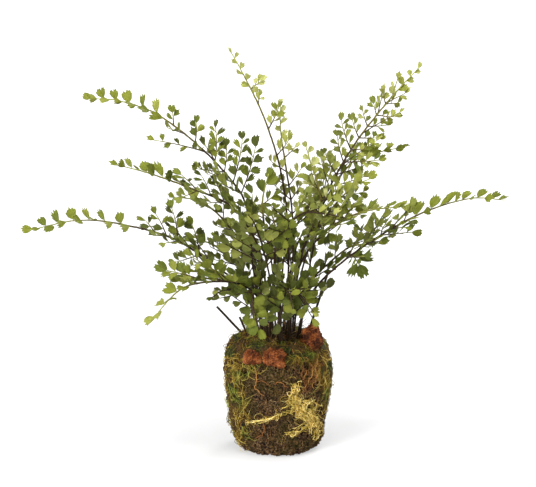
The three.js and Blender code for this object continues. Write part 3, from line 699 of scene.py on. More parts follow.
def leaflet_kind(name, spread, teeth, tooth, clefts, depth, lean, cup, shoulder=SHOULDER, belly=BELLY):
    """spread is half the fan's angle in degrees; tooth and depth are the cut of a tooth and of a deep cleft,
    as shares of the length; clefts are their places from -1 to 1; lean sets one side of the fan shorter;
    shoulder rounds the fan's corners off and belly widens its middle."""
    bpy.ops.mesh.primitive_grid_add(x_subdivisions=LEAFLET_ROWS, y_subdivisions=2 * teeth, size=1)
    leaflet = bpy.context.object
    leaflet.name = name
    for vertex in leaflet.data.vertices:
        u = vertex.co.x + 0.5
        v = 2 * vertex.co.y
        column = round((v + 1) * teeth)
        reach = 1 - shoulder * abs(v) ** 3 - lean * v
        reach -= depth * sum(math.exp(-(((v - cleft) / CLEFT_WIDTH) ** 2)) for cleft in clefts) * u
        if u > RIM and column % 2 == 0 and abs(v) < RIM:
            reach -= tooth
        radius = lerp(FOOT, reach, u)
        angle = math.radians(spread) * v * (1 + belly * math.sin(math.pi * u))
        x, y = radius * math.cos(angle), radius * math.sin(angle)
        ripple = RIPPLE * math.cos(column * RIPPLE_TURN) * u
        vertex.co = (x, y, cup * (abs(y) ** CUP_CURVE) - BOW * x * x + ripple)
    apply_modifier(leaflet, "SOLIDIFY", thickness=BLADE_THICKNESS, offset=-1)
    under = leaflet.data.attributes.new("under", "FLOAT", "POINT")
    shell = len(leaflet.data.vertices) // 2
    under.data.foreach_set("value", [0.0] * shell + [1.0] * shell)
    leaflet.data.attributes.new("tone", "FLOAT", "POINT")
    select_only(leaflet)
    bpy.ops.object.shade_smooth_by_angle(angle=SMOOTH_ANGLE)
    return leaflet


leaflet_kinds = [
    leaflet_kind("round", 37, 6, 0.06, (0.2,), 0.08, 0, -0.5, ROUND_SHOULDER, ROUND_BELLY),
    leaflet_kind("round_leaning", 35, 5, 0.1, (-0.25,), 0.12, 0.1, 0.5, ROUND_SHOULDER, ROUND_BELLY),
    leaflet_kind("broad", 37, 6, 0.12, (0.0,), 0.18, -0.04, 0.55),
    leaflet_kind("fan", 31, 5, 0.15, (-0.3, 0.36), 0.1, 0, -0.6),
    leaflet_kind("lobed", 29, 5, 0.19, (-0.4, 0.4), 0.22, 0.05, 0.5),
    leaflet_kind("oblique", 25, 5, 0.2, (-0.2,), 0.1, 0.2, -0.5),
    leaflet_kind("wedge", 20, 4, 0.2, (0.1,), 0.12, 0.08, 0.6),
    leaflet_kind("narrow", 16, 3, 0.2, (), 0, 0.06, -0.6),
]
ROUND_KINDS = leaflet_kinds[:4]  # for the fronds in front
END_KINDS = leaflet_kinds[1:6]  # for the tips of fronds and sprays
SLIM_KINDS = leaflet_kinds[3:]  # for all others
print("faces of a leaflet:", [len(kind.data.polygons) for kind in leaflet_kinds])

# %% [markdown]
# Each copy of a leaflet has a mesh of its own, set in place by a matrix. A mirrored copy gets its faces
# turned back, so that they look outwards. The copies of a frond are then joined to one piece.


# %% Copies of a shape, joined
def copy_of(shape, matrix, tone):
    copy = shape.copy()
    copy.data = shape.data.copy()
    copy.data.transform(matrix)
    if matrix.determinant() < 0:
        copy.data.flip_normals()
    copy.data.attributes["tone"].data.foreach_set("value", [tone] * len(copy.data.vertices))
    bpy.context.collection.objects.link(copy)
    return copy


def join(name, pieces):
    select_only(*pieces)
    bpy.ops.object.join()
    joined = bpy.context.object
    joined.name = name
    joined.data.name = name
    return joined


def discard(*pieces):
    for piece in pieces:
        bpy.data.objects.remove(piece)


# %% [markdown]
# The stem is dark and wiry, and turns green towards the tip, where it is still growing. It has a small knee
# wherever a spray leaves it.

# %% Stems, ribs and stalks
STEM_SLIMNESS = 0.92  # of a stem's foot, against the solid's
TWIG_RADIUS = 0.95  # where single leaflets begin, and at the tip, in millimetres
TIP_RADIUS = 0.45
STEM_STEP = 3.5  # from one ring of a stem to the next, in millimetres
STEM_SIDES = 8
KNEE = 0.18  # how much thicker the stem is at a knee, and over which length
KNEE_REACH = 1.6
WANDER = 0.35  # how far a stem strays from its smooth course, in millimetres
ROOT = 0.5  # how far a rib starts inside its stem
RIB_RADIUS = 0.75
RIB_POINTS = 9
RIB_SIDES = 6
STALK_RADIUS = 0.45
STALK_SIDES = 4


def sideways(path):
    """A level direction across a path."""
    heading = Vector(path[-1]) - Vector(path[0])
    return Vector((-heading.y, heading.x, 0)).normalized()


def stem_course(course, radius, twig_from, knees, seed):
    """Points and radii of a stem from foot to tip."""
    count = math.ceil(course.length / STEM_STEP)
    points = []
    for i in range(count + 1):
        share = i / count
        if share < twig_from:
            here = lerp(radius * STEM_SLIMNESS, TWIG_RADIUS, share / twig_from)
        else:
            here = lerp(TWIG_RADIUS, TIP_RADIUS, (share - twig_from) / (1 - twig_from))
        near = min((abs(share - knee) * course.length for knee in knees), default=STEM_STEP)
        here *= 1 + KNEE * math.exp(-((near / KNEE_REACH) ** 2))
        sway = [WANDER * (draw(seed, i, axis) - 0.5) for axis in range(3)]
        points.append([*(course.at(share) + Vector(sway)), here])
    return np.array([points])


def rib_course(spray):
    x_from = -ROOT if spray["side"] else -2 * ROOT
    x_to = spray["leaflets"][-1][0]
    points = []
    for i in range(RIB_POINTS):
        x = lerp(x_from, x_to, i / (RIB_POINTS - 1))
        points.append([*spray["surface"](x, 0)[0], lerp(RIB_RADIUS, STALK_RADIUS, i / (RIB_POINTS - 1))])
    return np.array([points])


# %% [markdown]
# Stems, ribs and stalks of a frond differ in their numbers of points and sides. So each kind is a group of
# its own, and one mesh takes up all the groups.


# %% One mesh of many tubes
def strand_piece(name, groups):
    """One mesh of many tubes. A group is courses, sides, a direction over them and a tone for each point."""
    all_vertices = []
    all_faces = []
    all_tones = []
    total = 0
    for courses, sides, over, tones in groups:
        vertices, faces = tubes(courses * [MM, MM, MM, MM], sides, over)
        all_faces += [[total + i for i in face] for face in faces]
        all_vertices.append(vertices)
        all_tones.append(np.repeat(np.broadcast_to(tones, courses.shape[:2]).ravel(), sides))
        total += len(vertices)
    mesh = bpy.data.meshes.new(name)
    mesh.from_pydata(np.concatenate(all_vertices).tolist(), [], all_faces)
    layer = mesh.attributes.new("tone", "FLOAT", "POINT")
    layer.data.foreach_set("value", np.concatenate(all_tones).astype(np.float32))
    mesh.shade_smooth()
    piece = bpy.data.objects.new(name, mesh)
    bpy.context.collection.objects.link(piece)
    return piece


# %% [markdown]
# A stem is nearly black where it is old and green where it is young. Each point of its mesh carries a tone
# for its age, and a ramp turns that into colour, with faint brown patches over it.

# %% The material of stems
STEM_AGES = ((0.0, "#120a04"), (0.54, "#1e150a"), (0.74, "#504c1c"), (1.0, "#7c8440"))


def stem_material():
    """Living fern stem: hard, smooth and nearly black at the foot, green where it is young."""
    stem = new_material("fern_stem")
    colour = patched(stem, toned(stem, STEM_AGES), linear("#6a5430"), share=0.14, size=1.5)
    normal = rough(stem, size=0.8, depth=0.1, strength=0.4)
    shader = add(stem, "BsdfPrincipled", {"Base Color": colour, "Roughness": 0.42, "IOR": 1.48,
                                          "Specular IOR Level": 0.1, "Normal": normal})
    return finish_material(stem, shader)


fern_stem = stem_material()

# %% [markdown]
# A leaflet is thin enough for light to shine through, so its shader mixes a satin skin with a translucent
# glow. Its colour runs from deep to yellow green by its tone, with faint blotches, a paler underside, and
# paler veins that follow the fan through the grid's own UV map.

# %% The material of leaflets
LEAF_TONES = ((0.0, "#1e2604"), (0.3, "#3e4c0a"), (0.55, "#6a701e"), (0.8, "#929450"), (1.0, "#b8b988"))
VEINS = 15  # across a leaflet, far fewer than the real ones, so that they show
WAVE = 20  # the bands of a wave texture are 2 pi over this wide at a scale of 1
GLOW = 0.28  # the share of light that shines through


def leaflet_material():
    """Living fern blade: thin and soft, with a faint satin top and a pale underside."""
    leaf = new_material("fern_leaflet")
    spots = add(leaf, "TexNoise", grain(leaf, 5, 2))
    spots = add(leaf, "Mix", {FACTOR: spots, FIRST: linear("#b0b27c"), SECOND: linear("#ffffff")}, **MIX)
    top = {FACTOR: 1.0, FIRST: toned(leaf, LEAF_TONES), SECOND: spots}
    top = add(leaf, "Mix", top, blend_type="MULTIPLY", **MIX)
    below = add(leaf, "Mix", {FACTOR: 0.3, FIRST: top, SECOND: linear("#868a4a")}, **MIX)
    under = add(leaf, "Attribute", output="Fac", attribute_name="under")
    colour = add(leaf, "Mix", {FACTOR: under, FIRST: top, SECOND: below}, **MIX)
    fan = {"Vector": add(leaf, "UVMap"), "Scale": VEINS * 2 * math.pi / WAVE, "Distortion": 0.6}
    veins = add(leaf, "TexWave", fan, "Fac", bands_direction="Y")
    paler = add(leaf, "Mix", {FACTOR: 0.14, FIRST: colour, SECOND: linear("#c4c878")}, **MIX)
    colour = add(leaf, "Mix", {FACTOR: veins, FIRST: colour, SECOND: paler}, **MIX)
    normal = add(leaf, "Bump", {"Height": veins, "Distance": 0.12 * MM, "Strength": 0.5})
    skin = add(leaf, "BsdfPrincipled", {"Base Color": colour, "Roughness": 0.5, "IOR": 1.42,
                                        "Specular IOR Level": 0.05, "Normal": normal})
    glow = add(leaf, "Mix", {FACTOR: 0.3, FIRST: colour, SECOND: linear("#b8c060")}, **MIX)
    glow = {FACTOR: 1.0, FIRST: glow, SECOND: linear("#fffac8")}
    glow = add(leaf, "Mix", glow, blend_type="MULTIPLY", **MIX)
    glow = add(leaf, "BsdfTranslucent", {"Color": glow, "Normal": normal})
    return finish_material(leaf, add(leaf, "MixShader", {0: GLOW, 1: skin, 2: glow}))


fern_leaflet = leaflet_material()

# %% [markdown]
# Every blade turns towards the light as it grows, though not all the way, and twists a little on its stalk.
# The blades of some fronds lie nearly level, as they do on the real plant. The outermost ones are the
# fullest.

# %% Where a blade stands
FULLNESS = 1.12  # of a blade, against its place on the rib
SPRAY_END_FULLNESS = 1.15
LONG_END_FULLNESS = 1.5
END_FULLNESS = {"frond_top": 1.1, "frond_top_right": 1.2, "frond_pale": 1.15, "frond_short_middle": 1.1}
FRONT_FULLNESS = 0.95
SIZE_CHANCE = 0.12  # how much larger or smaller a blade may be
WIDTHS = (0.88, 1.1)  # how far it may be drawn in or out across
TWIST = 34  # about the blade's length, up and down, and left and right, in degrees
PITCH = 18
YAW = 12
TOWARDS_LIGHT = 0.7  # the most that a blade turns of the way to the light
END_TOWARDS_LIGHT = 1
RISE = 0.4  # how much it also points up
FLAT = ("frond_left_middle", "frond_left_inner", "frond_left_far", "frond_right_far", "frond_right_upper",
        "frond_front_right", "frond_front_level")  # fronds whose blades lie level
FLAT_TOWARDS_LIGHT = 0.3
FLAT_RISE = 0.12


def fullness_of(name, spray, at_end):
    if name in FRONT:
        return FRONT_FULLNESS
    if not at_end:
        return FULLNESS
    return SPRAY_END_FULLNESS if spray["side"] else END_FULLNESS.get(name, LONG_END_FULLNESS)


def growth_of(name, spray, at_end):
    """How far a blade turns towards the light, and how much it rises."""
    if spray["side"] and name in FLAT:
        return FLAT_TOWARDS_LIGHT, FLAT_RISE
    return END_TOWARDS_LIGHT if at_end or name in FRONT else TOWARDS_LIGHT, RISE


print("fronds with level blades:", len(FLAT))

# %% [markdown]
# The matrix of a blade sets its foot on the rib and its length along the spray. It also turns, twists and
# stretches the blade a little, and mirrors about half of them.


# %% The matrix of a blade
def towards_light(across, over):
    """How far a blade would turn about its own length, a quarter turn at most, to lie square to the light."""
    angle = math.atan2(-LIGHT_FROM.dot(across), LIGHT_FROM.dot(over))
    return (angle + math.pi / 2) % math.pi - math.pi / 2


def leaflet_matrix(spray, leaflet, fullness, towards, rise, chance):
    x, side, size = leaflet
    size *= fullness * chance.uniform(1 - SIZE_CHANCE, 1 + SIZE_CHANCE)
    foot, over = spray["surface"](x, side * RIB)
    ahead, _ = spray["surface"](*on_leaflet(leaflet, 0.6, 0))
    direction = ((ahead - foot).normalized() + UP * rise).normalized()
    across = over.cross(direction).normalized()
    over = direction.cross(across)
    basis = Matrix((direction, across, over)).transposed().to_4x4()
    twist = towards_light(across, over) * towards * chance.random()
    turn = Matrix.Rotation(twist + math.radians(chance.gauss(0, TWIST / 2)), 4, "X")
    turn @= Matrix.Rotation(math.radians(chance.gauss(0, PITCH / 2)), 4, "Y")
    turn @= Matrix.Rotation(math.radians(chance.gauss(0, YAW / 2)), 4, "Z")
    width = chance.uniform(*WIDTHS) * (-1 if chance.random() < 0.5 else 1)
    scale = Matrix.Diagonal((size, size * width, size, 1))
    return Matrix.Translation(foot) @ basis @ turn @ scale


# %% [markdown]
# Blades grow yellower towards the frond's tip. Below it more than a third are painted much darker, a painted
# shade which gives the plant its depth. Then each frond becomes two pieces: its wiry parts and its blades.

# %% Dressing every frond
TONE_SPREAD = 0.14  # up or down, at random
FRONT_TONE_SPREAD = 0.3
YOUNG_TONE = 0.18  # from the foot of a frond to its tip
YOUNG_FROM = 0.7  # the share of the path where a blade has the frond's own tone
PAINTED_SHADE_UP_TO = 0.8  # the share of the path up to which some blades get painted shade, how many, and how much darker
PAINTED_SHADE_SHARE = 0.36
PAINTED_SHADE_TONE = 0.28
FRONT_YOUNG = 0.6  # how green the stems of the front fronds get
GREENING = 1.3  # above 1, a stem turns green late
RIB_TONES = (0.6, 0.9)
STALK_TONE = 0.8
STALK_PLACES = (-0.01, FOOT / 2, FOOT + 0.03)  # along the blade, from the rib to just inside it


def tone_of(name, record, base, chance):
    spread = FRONT_TONE_SPREAD if name in FRONT else TONE_SPREAD
    tone = record["tone"] + YOUNG_TONE * (base - YOUNG_FROM) + chance.uniform(-1, 1) * spread
    # painted shade: some blades below the tip are painted much darker, for the depth inside the plant
    if base < PAINTED_SHADE_UP_TO and chance.random() < PAINTED_SHADE_SHARE:
        tone -= PAINTED_SHADE_TONE
    return tone


def dress_frond(seed, name, record):
    chance = random.Random(seed)
    knees = [spray["share"] for spray in record["grown"] if spray["side"]]
    course = stem_course(record["course"], record["radius"], record["singles"], knees, seed)
    young = FRONT_YOUNG if name in FRONT else 1
    tones = young * np.linspace(0, 1, course.shape[1])[None] ** GREENING
    groups = [(course, STEM_SIDES, np.array([sideways(record["path"])]), tones)]
    blades = []
    for spray in record["grown"]:
        base = spray.get("share", 1)
        over = np.array([spray["surface"](0, 0)[1]])
        tones = young * np.linspace(base * RIB_TONES[0], RIB_TONES[1], RIB_POINTS)[None]
        groups.append((rib_course(spray), RIB_SIDES, over, tones))
        for leaflet in spray["leaflets"]:
            at_end = not spray["side"] or not leaflet[1]
            towards, rise = growth_of(name, spray, at_end)
            matrix = leaflet_matrix(spray, leaflet, fullness_of(name, spray, at_end), towards, rise, chance)
            stalk = [[*(matrix @ Vector((along, 0, 0))), STALK_RADIUS] for along in STALK_PLACES]
            over = np.array([matrix.col[2].xyz])
            groups.append((np.array([stalk]), STALK_SIDES, over, STALK_TONE * young))
            tone = tone_of(name, record, base, chance)
            kind = chance.choice(ROUND_KINDS if name in FRONT else END_KINDS if at_end else SLIM_KINDS)
            blades.append(copy_of(kind, Matrix.Scale(MM, 4) @ matrix, tone))
    finish_piece(strand_piece(name + "_stem", groups), fern_stem, "stem", name)
    finish_piece(join(name + "_leaflets", blades), fern_leaflet, "leaf", name)


for seed, (name, record) in enumerate(FRONDS.items()):
    dress_frond(seed, name, record)
discard(*leaflet_kinds)

# %% [markdown]
# ## Cut stems
#
# Some stems were cut off above the soil. They are the same wiry stem, a little thicker at the foot, and end
# flat where the blade went through.

# %% The cut stems
STUB_FOOT = 1.1  # radius of the foot, against that of the cut end
STUB_TONE = 0.3  # of the cut end


def stub_course(path, radius):
    course = Course(path)
    count = math.ceil(course.length / STEM_STEP)
    radii = [lerp(radius * STUB_FOOT, radius, i / count) for i in range(count + 1)]
    return np.array([[[*course.at(i / count), here] for i, here in enumerate(radii)]])


for name, (radius, path) in STUBS.items():
    course = stub_course(path, radius)
    tones = STUB_TONE * np.linspace(0, 1, course.shape[1])[None]
    group = (course, STEM_SIDES, np.array([sideways(path)]), tones)
    finish_piece(strand_piece(name + "_wood", [group]), fern_stem, "stem", name)

# %% [markdown]
# ## The ball of peat
#
# The ball is a crumbly mass of peat, held together by roots. A copy of the solid keeps its place and size.
# The copy's loose triangles are merged and voxels give it an even skin. A cloud pattern then pushes the
# skin in and out into lumps, and a cell pattern into crumbs with creases between them. How far each point
# moved is kept as its tone, which paints shade into the hollows and makes them darker than the crumbs.


# %% A crumbly copy of a solid
MERGE = 0.01  # corners nearer than this are one, in millimetres
STILL = 0.45  # the value of a pattern that moves nothing
LUMP_DETAIL = 2
# the tone of a point is painted shade: hollows are painted darker than the crumbs
LUMP_SHARE = 0.35  # of a lump's depth, against all of a crumb's, in how dark a hollow is
TONE_RANGE = (4, 96)  # the percentiles of the skin that are darkest and brightest


def corners_of(piece):
    places = np.empty(len(piece.data.vertices) * 3, np.float32)
    piece.data.vertices.foreach_get("co", places)
    return places.reshape(-1, 3)


def store(piece, name, values):
    layer = piece.data.attributes.new(name, "FLOAT", "POINT")
    layer.data.foreach_set("value", np.asarray(values, np.float32))


def push(piece, pattern, size, reach):
    """Moves the skin along its normals by a pattern whose shapes are about size across."""
    pattern.noise_scale = size * MM
    apply_modifier(piece, "DISPLACE", texture=pattern, strength=reach * MM, mid_level=STILL,
                   texture_coords="OBJECT")


def crumbly_copy(node, name, voxel, lump, lump_reach, crumb, crumb_reach, brightest=1):
    """A copy of a solid with lumps and crumbs, and a tone that paints shade into its hollows. Sizes and how
    far the skin moves are in millimetres.
    """
    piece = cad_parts[node].copy()
    piece.data = piece.data.copy()
    piece.name = name
    piece.data.name = name
    for key in list(piece.keys()):  # what marks a solid of the part doesn't go on to its copy
        del piece[key]
    bpy.context.collection.objects.link(piece)
    select_only(piece)
    bpy.ops.object.mode_set(mode="EDIT")
    bpy.ops.mesh.select_all(action="SELECT")
    bpy.ops.mesh.remove_doubles(threshold=MERGE * MM)
    bpy.ops.object.mode_set(mode="OBJECT")
    apply_modifier(piece, "REMESH", mode="VOXEL", voxel_size=voxel * MM)
    before = corners_of(piece)
    normals = np.array([vertex.normal for vertex in piece.data.vertices])
    clouds = bpy.data.textures.new(name + "_clouds", "CLOUDS")
    clouds.noise_depth = LUMP_DETAIL
    push(piece, clouds, lump, lump_reach)
    lumps = ((corners_of(piece) - before) * normals).sum(axis=1)
    push(piece, bpy.data.textures.new(name + "_voronoi", "VORONOI"), crumb, -crumb_reach)
    moved = ((corners_of(piece) - before) * normals).sum(axis=1)
    print(f"{name}: the skin moved {moved.min() / MM:.1f} to {moved.max() / MM:.1f} mm")
    # how deep a point lies becomes its tone: painted shade, darker in the hollows and lighter on the crumbs
    shade_depth = moved - (1 - LUMP_SHARE) * lumps
    low, high = np.percentile(shade_depth, TONE_RANGE)
    store(piece, "tone", np.clip((shade_depth - low) / (high - low), 0, 1) * brightest)
    piece.data.shade_smooth()
    return piece


def rest_on_floor(piece):
    places = corners_of(piece)
    places[:, 2] = np.maximum(places[:, 2], 0)
    piece.data.vertices.foreach_set("co", places.ravel())


# %% [markdown]
# Peat is painted darkest in its hollows as shade, and its crumbs show lighter broken fibres. A film of
# olive algae grows on it in places. The bumps in the material are only the finest grit, and all larger shapes
# are in the mesh.

# %% Peat
# on the ball the tone is painted shade, darkest in the hollows; on the loose crumbs it differs at random
PEAT_TONES_AND_SHADE = ((0.0, "#050301"), (0.4, "#180f07"), (0.75, "#3a2812"), (1.0, "#745636"))
PEAT_SPECKS = ((0.42, "#080502"), (0.52, "#2a1b0c"), (0.62, "#96785a"))
PEAT_FILM = ((0.46, "#000000"), (0.58, "#ffffff"))


def peat_material():
    """Moist peat: dark, matt crumbs with brown fibres, painted shade in its hollows, and a film of olive
    algae in places.
    """
    peat = new_material("moist_peat")
    colour = specked(peat, toned(peat, PEAT_TONES_AND_SHADE), PEAT_SPECKS, share=0.5, size=1.7, detail=3,
                     roughness=0.75)
    colour = patched(peat, colour, linear("#34310a"), share=0.4, size=20, edges=PEAT_FILM)
    normal = rough(peat, size=1.1, depth=0.8, strength=1.0, detail=4, roughness=0.8)
    shader = add(peat, "BsdfPrincipled", {"Base Color": colour, "Roughness": 0.8, "IOR": 1.4,
                                          "Specular IOR Level": 0.12, "Normal": normal})
    return finish_material(peat, shader)


moist_peat = peat_material()
ball = crumbly_copy("root_ball", "root_ball_peat", voxel=0.85, lump=10, lump_reach=6, crumb=2.8,
                    crumb_reach=4.4)
rest_on_floor(ball)
finish_piece(ball, moist_peat, "peat", "root_ball")
ball_faces = [list(face.vertices) for face in ball.data.polygons]
ball_surface = BVHTree.FromPolygons(corners_of(ball).tolist(), ball_faces)

# %% [markdown]
# ## Courses over the ball
#
# Moss strands, roots and fibres all creep over the ball. Each starts at a random place on the solid it
# stands for, then walks in small steps, turns as it goes, and is laid back on the peat after every step.


# %% Places on the ball
BALL_MIDDLE = Vector((0, 0, 60))
BALL_RADIUS = 47
SLOPE_SHARE = 0.4  # of the peat's own slope in the way out, against the way from the ball's middle
IN_FRONT = -200  # where a view of the front starts


def points_on(node, count, seed):
    """Random points on the outward faces of a solid, in millimetres, spread evenly over their area."""
    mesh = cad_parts[node].data
    mesh.calc_loop_triangles()
    corners = np.array([[mesh.vertices[i].co / MM for i in face.vertices] for face in mesh.loop_triangles])
    cross = np.cross(corners[:, 1] - corners[:, 0], corners[:, 2] - corners[:, 0])
    outward = ((corners.mean(axis=1) - np.array(BALL_MIDDLE)) * cross).sum(axis=1) > 0
    area = np.linalg.norm(cross, axis=1) * outward
    rng = np.random.default_rng(seed)
    chosen = rng.choice(len(area), count, p=area / area.sum())
    a, b = rng.random((2, count, 1))
    flip = a + b > 1
    a, b = np.where(flip, 1 - a, a), np.where(flip, 1 - b, b)
    first, second, third = (corners[chosen, i] for i in range(3))
    return [Vector(point) for point in first + a * (second - first) + b * (third - first)]


def on_peat(point):
    """The nearest point of the peat and its outward direction, in millimetres."""
    found, normal, _, _ = ball_surface.find_nearest(point * MM)
    outward = (found / MM - BALL_MIDDLE).normalized()
    return found / MM, (normal * SLOPE_SHARE + outward).normalized()


def on_front(x, z):
    """The point of the front of the ball that is seen at x, z, or the nearest one past its edge."""
    found, _, _, _ = ball_surface.ray_cast(Vector((x, IN_FRONT, z)) * MM, Vector((0, 1, 0)))
    return found / MM if found else on_peat(Vector((x, -BALL_RADIUS / 2, z)))[0]


print("middle of the ball's front:", [round(value) for value in on_front(0, BALL_MIDDLE.z)], "mm")

# %% [markdown]
# A strand rises off the peat in the middle of its course and gets thinner towards its end. Little light
# reaches the moss in the crown, so what starts up there is darker.

# %% Creeping strands
LIE = 0.3  # how far a strand lies off the peat, in millimetres
MIDDLE_RISE = 0.75  # how far its middle and its end rise, against its rise
END_RISE = 0.25
TAPER = 0.5
THREAD_SIDES = 3
CROWN_FROM = 100  # the height from which moss is darker, in millimetres, and its tone there
CROWN_SHADE = 0.8


def creep(start, chance, steps, stride, bend, radius, rise, down):
    """Points and radii of a strand that creeps over the peat, and the way up from its start."""
    point, normal = on_peat(start)
    heading = Vector([chance.gauss(0, 1) for _ in range(3)]) - UP * down
    turn = chance.gauss(0, bend)
    first_normal = normal
    points = []
    for i in range(steps):
        t = i / (steps - 1)
        lift = LIE + rise * (math.sin(math.pi * t) * MIDDLE_RISE + END_RISE * t)
        points.append([*(point + normal * lift), radius * (1 - TAPER * t)])
        heading = (heading - normal * heading.dot(normal)).normalized()
        heading.rotate(Matrix.Rotation(turn + chance.gauss(0, bend), 3, normal))
        point, normal = on_peat(point + heading * stride)
    return points, first_normal


def creepers(starts, seed, steps, stride, bend, radius, rise, tone, down=0.0):
    """A group of creeping strands for strand_piece. stride, radius, rise and tone are each a lowest and a
    highest value, and down is how strongly the strands head down."""
    chance = random.Random(seed)
    courses = []
    normals = []
    tones = []
    for start in starts:
        course, normal = creep(start, chance, steps, chance.uniform(*stride), bend, chance.uniform(*radius),
                               chance.uniform(*rise) * chance.random(), down)
        courses.append(course)
        normals.append(normal)
        shade = CROWN_SHADE if start.z > CROWN_FROM else 1
        tones.append([chance.uniform(*tone) * shade] * steps)
    return np.array(courses), THREAD_SIDES, np.array(normals), np.array(tones)


print("moss is darker from", CROWN_FROM, "mm up")

# %% [markdown]
# Loose crumbs lie in the hollows of the peat. They are copies of one small faceted ball, each squashed and
# turned another way. Most are small, and a few are much larger.

# %% Crumbs
CRUMBS = 4200
CRUMB_RADII = (0.5, 1.0)  # in millimetres
CRUMB_MORE = 0.7  # a few are larger by up to this
CRUMB_SQUASH = (0.6, 1.3)  # along each of its axes
CRUMB_LIFT = 0.3  # off the peat, in millimetres
ANY_TURN = 6.28  # in radians


def crumb_matrix(point, chance):
    foot, normal = on_peat(point)
    turn = Matrix.Rotation(chance.uniform(0, ANY_TURN), 4, normal)
    size = chance.uniform(*CRUMB_RADII) + CRUMB_MORE * chance.random() ** 3
    shape = Matrix.Diagonal([size * chance.uniform(*CRUMB_SQUASH) for _ in range(3)] + [1])
    return Matrix.Translation((foot + normal * CRUMB_LIFT) * MM) @ turn @ Matrix.Scale(MM, 4) @ shape


bpy.ops.mesh.primitive_ico_sphere_add(subdivisions=1, radius=1)
crumb = bpy.context.object
store(crumb, "tone", [0] * len(crumb.data.vertices))
chance = random.Random(31)
starts = points_on("root_ball", CRUMBS, seed=31)
crumbs = [copy_of(crumb, crumb_matrix(start, chance), chance.random()) for start in starts]
discard(crumb)
crumbs = join("root_ball_crumbs", crumbs)
rest_on_floor(crumbs)
finish_piece(crumbs, moist_peat, "peat", "root_ball")

# %% [markdown]
# Thousands of fine dead roots and fibres hold the peat together. They are dry, so they are lighter than the
# moist peat, from nearly black to straw.

# %% Fibres
FIBRES = 4000
FIBRE_TONES = ((0.0, "#140a04"), (0.5, "#3c260f"), (0.82, "#6e4c1e"), (1.0, "#b49668"))


def fibre_material():
    """Dead roots and coir: thin, dry and matt."""
    fibre = new_material("dead_root_fibre")
    shader = add(fibre, "BsdfPrincipled", {"Base Color": toned(fibre, FIBRE_TONES), "Roughness": 0.75,
                                           "IOR": 1.45, "Specular IOR Level": 0.25})
    return finish_material(fibre, shader)


dead_root_fibre = fibre_material()
fibres = creepers(points_on("root_ball", FIBRES, seed=32), seed=33, steps=7, stride=(0.9, 2.4), bend=0.22,
                  radius=(0.1, 0.24), rise=(0.2, 2.0), tone=(0, 1))
fibres = strand_piece("root_ball_fibres", [fibres])
rest_on_floor(fibres)
finish_piece(fibres, dead_root_fibre, "peat", "root_ball")

# %% [markdown]
# Round the feet of the stems stand the dry bases of older fronds, thin brown threads that lean every way.
# They fill the crown between the stems. Most are short and dark, and they are tallest in the middle.

# %% Old threads in the crown
CROWN_THREADS = 900
CROWN_REACH = (31, 24)  # half of the crown's width and depth in millimetres
CROWN_TOP = 108
CROWN_SPREAD = 0.6  # below 1, more threads stand near the crown's edge
CROWN_HEIGHTS = (7, 14)
CROWN_MORE = 14  # a few are taller by up to this
CROWN_MIDDLE = 1.2  # height in the middle, and how much less it is at the edge
CROWN_FALL = 0.6
CROWN_LEAN = 0.6  # sideways and up, against its length
CROWN_RISE = (0.6, 1)
CROWN_BOW = 4
CROWN_RADII = (0.2, 0.42)
CROWN_POINTS = 7
CROWN_SIDES = 4


def crown_thread(chance):
    """A thread that stands in the crown and leans and bends as it rises."""
    angle = chance.uniform(0, 2 * math.pi)
    out = chance.random() ** CROWN_SPREAD
    foot = Vector((CROWN_REACH[0] * out * math.cos(angle), CROWN_REACH[1] * out * math.sin(angle), CROWN_TOP))
    height = chance.uniform(*CROWN_HEIGHTS) + CROWN_MORE * chance.random() ** 3
    height *= CROWN_MIDDLE - CROWN_FALL * out
    lean = [chance.gauss(0, CROWN_LEAN) * height for _ in range(2)]
    lean = Vector([*lean, height * chance.uniform(*CROWN_RISE)])
    bow = Vector([chance.gauss(0, CROWN_BOW) for _ in range(2)] + [chance.uniform(0, CROWN_BOW)])
    radius = chance.uniform(*CROWN_RADII)
    points = []
    for i in range(CROWN_POINTS):
        t = i / (CROWN_POINTS - 1)
        points.append([*(foot + lean * t + bow * math.sin(math.pi * t)), radius * (1 - TAPER * t)])
    return points


chance = random.Random(35)
courses = np.array([crown_thread(chance) for _ in range(CROWN_THREADS)])
over = np.array([[1.0, 0.2, 0.0]] * CROWN_THREADS)  # level, and the threads rise
tones = np.array([[chance.random() ** 2] * CROWN_POINTS for _ in range(CROWN_THREADS)])
threads = strand_piece("root_ball_crown_threads", [(courses, CROWN_SIDES, over, tones)])
finish_piece(threads, dead_root_fibre, "peat", "root_ball")

# %% [markdown]
# ## Green moss
#
# Moss is a mat of fine creeping threads over a soft cushion. Some patches are green, and the rest has dried
# to a yellow brown. The same recipe, with other colours, makes the pale moss later.

# %% The material of moss
MOSS_TONES = ((0.0, "#120b03"), (0.4, "#4c350e"), (0.75, "#94782a"), (1.0, "#d0b85c"))
MOSS_PATCH_TONES = ((0.0, "#070a03"), (0.4, "#26360c"), (0.75, "#527020"), (1.0, "#94ac4a"))
MOSS_EDGES = ((0.46, "#000000"), (0.6, "#ffffff"))


def moss_material(name, tones, patch_tones, patch_share):
    """Living moss: matt and soft, painted darker deep down as shade, with patches of another colour."""
    moss = new_material(name)
    colour = patched(moss, toned(moss, tones), toned(moss, patch_tones), patch_share, size=16, detail=2,
                     edges=MOSS_EDGES)
    shader = add(moss, "BsdfPrincipled", {"Base Color": colour, "Roughness": 0.8, "IOR": 1.4,
                                          "Specular IOR Level": 0.25})
    return finish_material(moss, shader)


green_moss = moss_material("living_moss", MOSS_TONES, MOSS_PATCH_TONES, 0.7)

